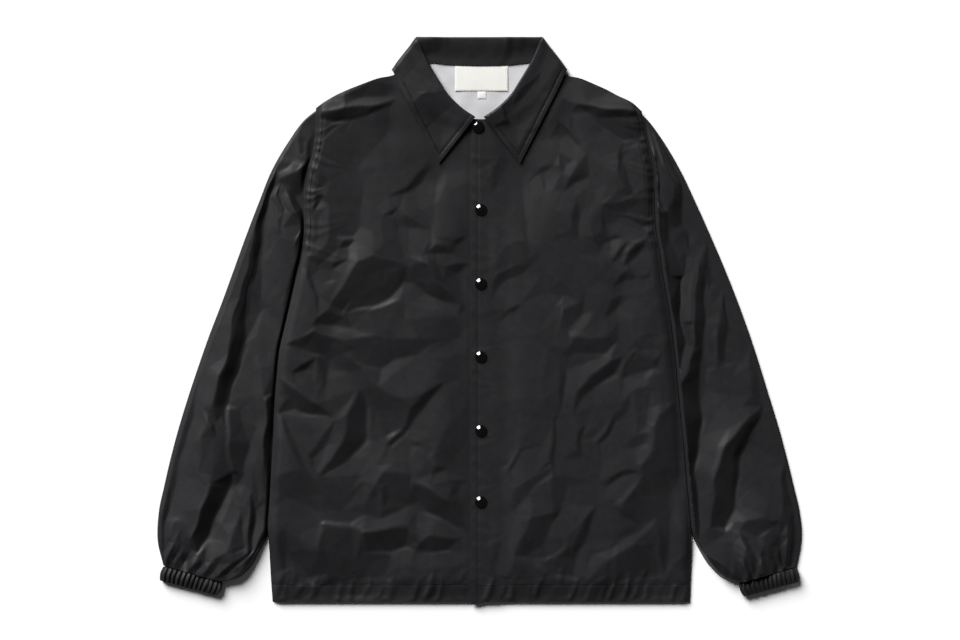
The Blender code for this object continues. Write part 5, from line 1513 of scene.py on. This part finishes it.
SNAP_PROFILE = [
    (0.0, 3.4), (2.2, 3.33), (3.6, 3.05), (4.6, 2.6), (7.1, 1.15), (7.75, 0.6), (7.6, 0.1), (7.1, 0.0),
]
snap_places = [TOP_SNAP] + [(SNAP_X, y) for y in SNAP_Y]
for number, (snap_x, snap_y) in enumerate(snap_places, start=1):
    low_corner, high_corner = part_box(f"snap_cap_{number}")
    place = (snap_x, snap_y, max(snap_top(snap_x, snap_y) + 0.05, low_corner[2] / MM))
    cap = lathe(f"snap_cap_{number}_enamelled", place, SNAP_PROFILE)
    dress(cap, black_enamel, "snap", f"snap_cap_{number}")

seams = stitches("topstitching_fronts", seam_lines(-1) + seam_lines(1), 3.2, 2.7, 0.36)
dress(seams, black_thread, "nylon")
collar_seams = stitches("topstitching_collar", collar_lines(collar_points), 3.2, 2.8, 0.42)
dress(collar_seams, black_thread, "nylon")
(label_x, label_y), (label_w, label_h) = LABEL
label_z = COLLAR_LIFT + WALL + GAP + LINING_WALL + 1.0
label_line = [
    (label_x + 1.2, label_y + 1.6, label_z), (label_x + label_w - 1.2, label_y + 1.6, label_z),
    (label_x + label_w - 1.2, label_y + label_h - 1.2, label_z),
]
label_seam = stitches("stitching_label", [label_line[:2], label_line[1:]], 2.4, 1.7, 0.18)
dress(label_seam, white_thread, "label")

# Floor, studio light and camera
bpy.ops.mesh.primitive_plane_add(size=12.0, location=(0, 0, -0.0002))
floor = bpy.context.object
floor.name = "floor"
floor_paint, _, floor_shader = new_material("matt white board")
floor_shader.inputs["Base Color"].default_value = linear("F4F4F4")
floor_shader.inputs["Roughness"].default_value = 0.9
floor_shader.inputs["Specular IOR Level"].default_value = 0.1
floor.data.materials.append(floor_paint)

soft_light("key", azimuth=KEY_BEARING, height=29.0, spread=36.0, power=7.1)
world = bpy.data.worlds.new("studio")
bpy.context.scene.world = world
world.use_nodes = True
world.node_tree.nodes["Background"].inputs["Color"].default_value = (1, 1, 1, 1)
world.node_tree.nodes["Background"].inputs["Strength"].default_value = 0.05

# It looks straight down from where a picture of 960 points spans 1.25 m of the surface
lens = bpy.data.cameras.new("camera")
lens.lens = 85.0
lens.sensor_width = 36.0
lens.clip_start, lens.clip_end = 0.05, 50.0
camera = bpy.data.objects.new("camera", lens)
camera.location = (0.00065, 0.00065, 2.952)
bpy.context.scene.collection.objects.link(camera)
bpy.context.scene.camera = camera
bpy.context.scene.view_settings.view_transform = 'Standard'
